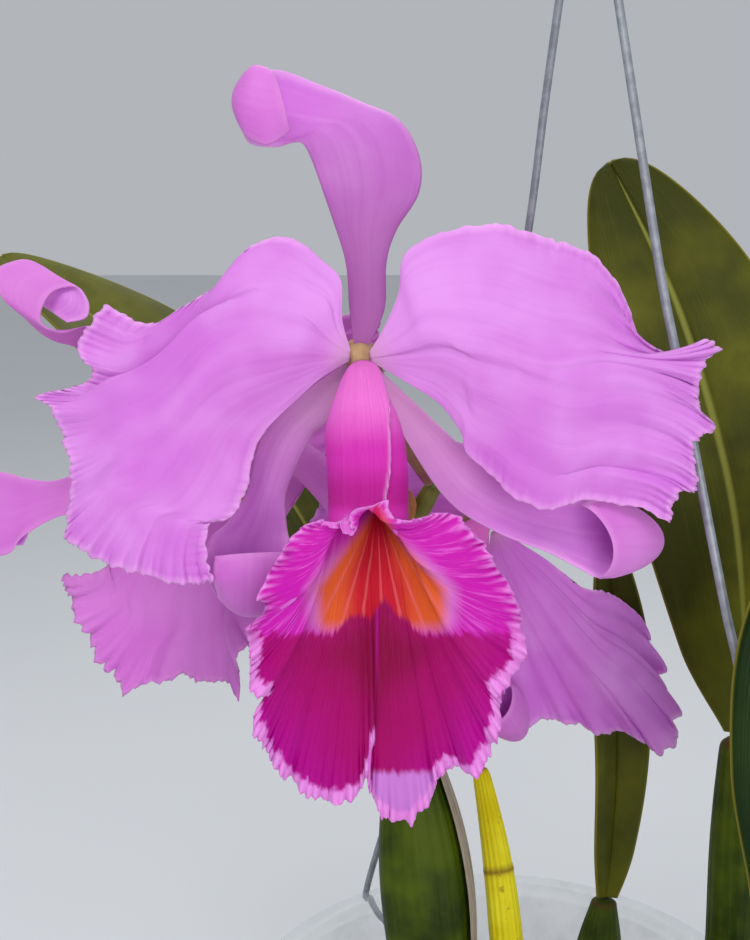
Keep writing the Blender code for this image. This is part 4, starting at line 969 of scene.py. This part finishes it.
def addStalkAndPapers(looks):
    rows, sides = fineness["stalk"]
    u = np.linspace(0, 1, rows)
    radii = onCurve(np.array(stalk["radii"])[:, None], u)
    ring = np.exp(-((u - stalk["ring"]) / 0.015) ** 2)
    width = roundedEnds(radii[:, 0]) * (1 + 0.08 * ring)
    tubePiece("flower_stalk_skin", tubeGrid(evenly(stalk["path"], rows - 1), width, sides),
              {"ring": np.repeat(ring * 0.7, sides)}, looks["stalk"], "flower_stalk")
    form = canes["cane_flowering"]
    rows, across = fineness["sheath"]
    u = np.linspace(sheath["from"], sheath["to"], rows + 1)
    path = canePath(form, u)
    side, back = framesAlong(path, (1, 0.1, 0))
    r = (caneRadius(form, u) * 1.03 + sheath["off"])[:, None, None]
    flat = form["thick"] / form["wide"]
    turn = np.radians(np.linspace(*sheath["turn"], across + 1))[None, :, None]
    j = np.linspace(0, 5, across + 1)[None, :, None]
    curl = 0.8 * np.sin(6 * u[:, None, None] + j) * (j / 5)
    points = (path[:, None] + side[:, None] * (r * np.cos(turn) + curl)
              + back[:, None] * (r * flat + 0.5) * np.sin(turn))
    tear = rough(np.linspace(0, 9, across + 1), 4.0) * 2.0
    points[-1] += np.stack([0 * tear, 0 * tear, tear], axis=1)
    addPaper("cane_dry_sheath", points, looks["husk"], sheath["thick"])
    rows, across = fineness["bract"]
    u, t = np.linspace(0, 1, rows + 1), np.linspace(-1, 1, across + 1)
    start, end = np.array(stalk["path"][-2:], float)
    centre = start + (end - start) * (bract["from"] + bract["span"] * u)[:, None]
    reach = bract["reach"] + bract["flare"] * u * u
    spread = math.radians(bract["spread"]) * np.sqrt(np.maximum(0.04, 1 - u * u))
    turn = math.radians(bract["turn"]) + spread[:, None] * t[None]
    ring = np.stack([np.cos(turn), np.sin(turn), 0 * turn], axis=-1)
    addPaper("stalk_bract", centre[:, None] + reach[:, None, None] * ring, looks["bract"],
             bract["thick"])


def addPaper(name, points, material, thick):
    rows, columns = points.shape[:2]
    fields = sheetFields(points, np.linspace(0, 1, rows)[:, None], np.linspace(0, 1, columns)[None])
    sheetPiece(name + "_skin", points, fields, thick, material, name, (0, -1, 0))


# Pot, bark and rhizome

pot = {"height": 140.0, "baseR": 58.0, "wallR": 80.0, "rimR": 85.0, "wall": 1.4, "floor": 2.2,
       "rimDepth": 5.0, "sides": 128, "drainR": 4.0, "drainRing": 36.0, "drains": 6,
       "holeR": 1.9, "holeZ": 131.0, "feet": (120.0, -38.0), "drillSides": 24}
bark = {"top": 118.0, "chip": 9.0, "relief": 3.5, "around": 256, "topRings": 78, "wallRings": 86,
        "dark": tone(48, 34, 24), "brown": tone(104, 74, 48), "pale": tone(142, 108, 76)}
rhizome = {"path": ((46, -20, 116.5), (37, -2, 117), (18, 1, 117), (4, 0, 116.5), (-10, 2, 117),
                    (-25, 8, 116)), "radius": 4.6}


def wallRadius(z):
    return pot["baseR"] + (pot["wallR"] - pot["baseR"]) * z / pot["height"]


def rod(start, end, radius):
    path = np.array([start, end], float)
    level = abs(end[2] - start[2]) < 1
    sides = pot["drillSides"]
    grid = tubeGrid(path, radius, sides, (0.3, 0.2, 1.0) if level else (1, 0, 0))
    mesh = bpy.data.meshes.new("drill")
    mesh.from_pydata((grid.reshape(-1, 3) * mm).tolist(), [], tubeFaces(len(path), sides))
    drill = bpy.data.objects.new("drill", mesh)
    bpy.context.scene.collection.objects.link(drill)
    return drill


def addPot(material):
    flange = pot["height"] - pot["rimDepth"]
    top, rimR, wallR, wall = pot["height"], pot["rimR"], pot["wallR"], pot["wall"]
    profile = [
        (0.0, 0.0), (pot["baseR"] - 3, 0.0), (pot["baseR"] - 0.9, 0.8), (pot["baseR"], 2.5),
        (wallRadius(70.0), 70.0), (wallRadius(flange) - 0.3, flange - 0.6), (wallR + 0.6, flange),
        (rimR - 0.5, flange + 0.3), (rimR, flange + 1.0), (rimR, top - 1.0), (rimR - 0.3, top - 0.3),
        (rimR - 0.9, top), (wallR - wall + 0.8, top), (wallR - wall + 0.2, top - 0.4),
        (wallR - wall, top - 1.2), (wallRadius(flange) - wall, flange - 1.5),
        (wallRadius(70.0) - wall, 70.0), (pot["baseR"] - wall, pot["floor"] + 1.5),
        (pot["baseR"] - 4, pot["floor"]), (0.0, pot["floor"]),
    ]
    profile = np.array(profile)
    turn = roundTurn(pot["sides"])
    ring = np.stack([np.cos(turn), np.sin(turn)], axis=1)
    grid = np.concatenate([profile[1:-1, 0][:, None, None] * ring[None],
                           np.broadcast_to(profile[1:-1, 1][:, None, None],
                                           (len(profile) - 2, pot["sides"], 1))], axis=-1)
    verts = grid.reshape(-1, 3)
    faces = quads(len(profile) - 2, pot["sides"], True, flip=True)
    faces.append(list(range(pot["sides"]))[::-1])
    faces.append(list(range(len(verts) - pot["sides"], len(verts))))
    piece = newPiece("clear_pot", verts, [f[::-1] for f in faces], {}, material, "pot")
    drills = []
    for k in range(pot["drains"]):
        a = math.tau * (k + 0.5) / pot["drains"]
        x, y = pot["drainRing"] * math.cos(a), pot["drainRing"] * math.sin(a)
        drills.append(rod((x, y, -3), (x, y, 6), pot["drainR"]))
    for degrees in pot["feet"]:
        away = outwardAt(degrees)
        at = away * wallRadius(pot["holeZ"]) + np.array([0, 0, pot["holeZ"]])
        drills.append(rod(at - away * 6, at + away * 6, pot["holeR"]))
    for drill in drills:
        knife = piece.modifiers.new("hole", "BOOLEAN")
        knife.operation, knife.solver, knife.object = "DIFFERENCE", "EXACT", drill
    bpy.context.view_layer.update()
    shaped = bpy.data.meshes.new_from_object(
        piece.evaluated_get(bpy.context.evaluated_depsgraph_get()))
    piece.modifiers.clear()
    piece.data = shaped
    for drill in drills:
        bpy.data.objects.remove(drill, do_unlink=True)
    shaped.set_sharp_from_angle(angle=math.radians(35))


def chipHeight(place):
    # height and tone of the chip a place belongs to
    distances, spots = noise.voronoi(place)
    cell = noise.cell(spots[0] * 7.3)
    tilt = (place - spots[0]).dot(Vector((noise.cell(spots[0] * 3.1) - 0.5,
                                          noise.cell(spots[0] * 5.7) - 0.5, 0.0)))
    gap = min(1.0, (distances[1] - distances[0]) * 5.0)
    fine = noise.noise(place * 6.0)
    return (cell - 0.5) + 0.9 * tilt + 0.06 * fine, gap, cell


def addBark(material):
    # one crust of chips: over the top and down inside the clear wall
    around = bark["around"]
    turn = roundTurn(around)
    rim = wallRadius(bark["top"]) - pot["wall"] - 1.3
    verts, chipToneAndShade = [], []
    for i in range(bark["topRings"]):
        r = max(0.4, rim * i / (bark["topRings"] - 1))
        for a in turn:
            x, y = r * math.cos(a), r * math.sin(a)
            high, gap, cell = chipHeight(Vector((x / bark["chip"], y / bark["chip"], 3.7)))
            drop = -2.0 * max(0.0, (r - rim + 4) / 4)
            z = bark["top"] + bark["relief"] * high + 1.6 * gap - 1.6 + drop
            verts.append((x, y, min(z, bark["top"] + 3.0)))
            # each chip's own random tone, darkened towards the gaps between chips as painted shade
            chipToneAndShade.append(cell * (0.35 + 0.65 * gap))
    foot = pot["floor"] + 0.8
    for i in range(1, bark["wallRings"] + 1):
        z = bark["top"] - 3.0 - (bark["top"] - 3.0 - foot) * i / bark["wallRings"]
        inner = min(wallRadius(z), wallRadius(z + 1)) - pot["wall"] - 1.0
        for a in turn:
            place = Vector((inner * math.cos(a), inner * math.sin(a), z)) / bark["chip"]
            high, gap, cell = chipHeight(place)
            r = inner - 1.6 * (0.5 - min(0.5, high)) - 2.4 * (1 - gap)
            verts.append((r * math.cos(a), r * math.sin(a), z))
            # the same: chip tone, darkened in the gaps as painted shade
            chipToneAndShade.append(cell * (0.35 + 0.65 * gap))
    rows = bark["topRings"] + bark["wallRings"]
    faces = quads(rows, around, True)
    faces.append(list(range(around))[::-1])
    faces.append(list(range((rows - 1) * around, rows * around)))
    newPiece("bark_chips", verts, faces, {"tone": chipToneAndShade}, material, "growing_medium")


def addRhizome(material):
    rows, sides = fineness["rhizome"]
    path = evenly(rhizome["path"], rows)
    u = np.linspace(0, 1, rows + 1)
    width = rhizome["radius"] * (0.8 + 0.2 * np.cos(12 * u * 2.1))
    ring = np.maximum(0, np.cos(12 * u * 2.1 + math.pi)) ** 6
    grid = tubeGrid(path, roundedEnds(width, 5), sides)
    tubePiece("rhizome_skin", grid, {"ring": np.repeat(ring * 0.8, sides)}, material, "rhizome")


# Wire hanger

hanger = {
    "radius": 1.2, "top": (13.0, 0.0, 492.0), "turns": 3, "turnSteps": 34,
    "back": ((-25, 62, 220), (-6, 46, 310), (3.7, 33, 376), (7.6, 24, 420), (10.4, 13, 455),
             (12.4, 3.5, 484)),
    "hook": ((0, 0, 0), (0, 0, 12), (0, 0, 24), (1, 0, 34), (9, 0, 47), (20, 0, 50), (29, 0, 40),
             (28, 0, 28)),  # counted from the top
    "front": ((71, -54.5, 165), (66, -55, 200), (58, -56, 240), (50.6, -56, 275), (47, -50, 293),
              (35.8, -38, 350), (31.2, -30, 376), (20.6, -14, 445), (15.5, -6.5, 477)),
    "grey": tone(158, 162, 170), "dull": tone(138, 142, 150),
}


def wireFoot(degrees):
    away = outwardAt(degrees)
    wall, z = wallRadius(pot["holeZ"]), pot["holeZ"]
    rim = pot["rimR"] + hanger["radius"] + 1.6
    steps = ((wall - 6.0, z - 7), (wall - 5.0, z - 2), (wall - 2.0, z - 0.1), (wall + 2.0, z + 0.1),
             (rim - 0.5, z + 3.5), (rim + 0.6, pot["height"] + 2))
    return [tuple(away * r + np.array([0, 0, h])) for r, h in steps]


def addHanger(material):
    top, r = np.array(hanger["top"]), hanger["radius"]
    back = wireFoot(pot["feet"][0]) + list(hanger["back"])
    hook = [tuple(top + np.array(p)) for p in hanger["hook"]]
    rows, sides = fineness["wire"]
    path = evenly(back + hook, rows)
    tubePiece("hanger_hooked_wire", tubeGrid(path, roundedEnds(np.full(len(path), r), 2), sides),
              {}, material, "hanger_wire_hooked")
    front = wireFoot(pot["feet"][1]) + list(hanger["front"])
    front.append(tuple(top + np.array((-2.2, -3.2, 0.2))))
    turns = hanger["turns"]
    turn = np.linspace(0, turns, hanger["turnSteps"] * turns) * math.tau
    coilR = rise = 2 * r + 0.6
    coil = np.stack([top[0] + coilR * np.cos(turn - math.pi / 2),
                     top[1] + coilR * np.sin(turn - math.pi / 2),
                     top[2] + 2 + rise * turn / math.tau], axis=1)
    rows, sides = fineness["woundWire"]
    path = np.concatenate([evenly(front, rows), coil])
    tubePiece("hanger_wound_wire", tubeGrid(path, roundedEnds(np.full(len(path), r), 2), sides),
              {}, material, "hanger_wire_wound")


def clearPlastic():
    s = Shade("clear_plastic_look")
    haze = s.grain(60.0, 3.0)
    scuffs = s.grain(700.0, 2.0)
    return s.done(Base_Color=s.blend(haze, tone(206, 218, 222), tone(228, 236, 238)),
                  Roughness=0.08 + 0.16 * haze, Alpha=0.1 + 0.1 * s.soft(haze, 0.4, 0.7),
                  Normal=s.bump(scuffs, 0.0001, 0.2), Coat_Weight=0.5, Coat_Roughness=0.05)


def barkMaterial():
    s = Shade("bark_look")
    chipToneAndShade = s.field("tone")
    fibres = s.grain(260.0, 4.0)
    # the dark end of the ramp carries painted shade in the gaps between chips as well as the chips'
    # own darker tones
    body = s.ramp(chipToneAndShade * 0.8 + 0.35 * fibres - 0.1,
                  [(0.0, bark["dark"]), (0.5, bark["brown"]), (1.0, bark["pale"])])
    return s.done(Base_Color=body, Roughness=0.82 + 0.1 * fibres,
                  Normal=s.bump(fibres, 0.0012, 0.9))


def wireMaterial():
    s = Shade("galvanised_look")
    spangle = s.grain(300.0, 2.0)
    drawn = s.grain(1.0, 2.0, s.trio(s.field("turn") * 40.0, s.field("along") * 30.0))
    body = s.blend(s.soft(spangle, 0.35, 0.65), hanger["dull"], hanger["grey"])
    return s.done(Base_Color=body, Roughness=0.4 + 0.2 * spangle, Metallic=0.45,
                  Normal=s.bump(spangle + 0.6 * drawn, 0.0001, 0.3))


# Studio: pale floor, soft light and the photograph's viewpoint

studio = {
    "cameraAt": (-0.042, -0.3716, 0.394), "pitch": 12.0, "focalPixels": 1310.0,
    "frame": (750, 940), "filmHeight": 24.0,
    "floor": tone(222, 224, 226), "speck": tone(214, 217, 220), "floorReach": 6.0,
    "sky": tone(232, 236, 242), "skyStrength": 0.55, "lampsAim": (-0.03, 0.0, 0.3),
    "lamps": (("key", (-0.45, -0.75, 1.4), 0.7, 8.2), ("fill", (0.35, -1.3, 0.4), 0.9, 7.0),
              ("top", (0.15, 0.6, 1.35), 0.8, 5.0)),
}


def addStudio():
    camera = bpy.data.cameras.new("view")
    camera.sensor_fit = "VERTICAL"
    camera.sensor_height = studio["filmHeight"]
    camera.lens = studio["filmHeight"] * studio["focalPixels"] / studio["frame"][1]
    camera.clip_start = 0.01
    eye = bpy.data.objects.new("view", camera)
    eye.location = studio["cameraAt"]
    eye.rotation_euler = (math.radians(90 - studio["pitch"]), 0, 0)
    bpy.context.scene.collection.objects.link(eye)
    bpy.context.scene.camera = eye
    mesh = bpy.data.meshes.new("floor")
    far = studio["floorReach"]
    mesh.from_pydata([(-far, -far, 0), (far, -far, 0), (far, far, 0), (-far, far, 0)], [],
                     [(0, 1, 2, 3)])
    floor = bpy.data.objects.new("floor", mesh)
    floor.location.z = -0.0004
    s = Shade("floor_look")
    speck = s.grain(3.0, 3.0)
    mesh.materials.append(s.done(Base_Color=s.blend(speck, studio["floor"], studio["speck"]),
                                 Roughness=0.8))
    bpy.context.scene.collection.objects.link(floor)
    for name, spot, size, watts in studio["lamps"]:
        light = bpy.data.lights.new(name, "AREA")
        light.shape, light.size, light.energy = "DISK", size, watts
        lamp = bpy.data.objects.new(name, light)
        lamp.location = spot
        aim = Vector(studio["lampsAim"]) - Vector(spot)
        lamp.rotation_euler = aim.to_track_quat("-Z", "Y").to_euler()
        bpy.context.scene.collection.objects.link(lamp)
    world = bpy.data.worlds.new("studio")
    world.use_nodes = True
    sky = world.node_tree.nodes["Background"]
    sky.inputs[0].default_value = studio["sky"]
    sky.inputs[1].default_value = studio["skyStrength"]
    bpy.context.scene.world = world
    bpy.context.scene.view_settings.view_transform = "Standard"


addStudio()
print("studio set")

looks = {
    "petal": petalMaterial("petal_look", petalLook, 0.12, 0.55),
    "sepal": petalMaterial("sepal_look", dict(petalLook, veins=70.0), 0.42, 0.7),
    # the dorsal sepal's dark base colour, spread over most of its length, is painted shade on its
    # lower part
    "dorsal": petalMaterial("dorsal_look", dict(petalLook, veins=70.0, base=tone(142, 66, 136)),
                            0.75, 0.85),
    "lip": lipMaterial("lip_look", lipLook),
    "column": stemMaterial("column_look", plantLook["column"], 6),
    "stalk": stemMaterial("stalk_look", plantLook["stalk"], 8),
    "cane": stemMaterial("cane_look", plantLook["cane"], 21),
    "yellowCane": stemMaterial("yellow_cane_look", plantLook["yellowCane"], 17),
    "rhizome": stemMaterial("rhizome_look", plantLook["rhizome"], 9, 0.7),
    "leaf": leafMaterial("leaf_look", leafLook),
    "darkLeaf": leafMaterial("dark_leaf_look", dict(leafLook, **darkLeaf)),
    "husk": paperMaterial("husk_look", tone(142, 126, 104), tone(192, 180, 158), 0.86),
    "bract": paperMaterial("bract_look", tone(176, 116, 62), tone(214, 156, 92), 1.0),
}
for name, form in blooms.items():
    addBloom(name, form, looks)
    print("bloom made:", name)
addCanes(looks)
addLeaves(looks)
addStalkAndPapers(looks)
print("canes, leaves and stalk made")
addPot(clearPlastic())
addBark(barkMaterial())
addRhizome(looks["rhizome"])
addHanger(wireMaterial())
print("pot, bark and hanger made")
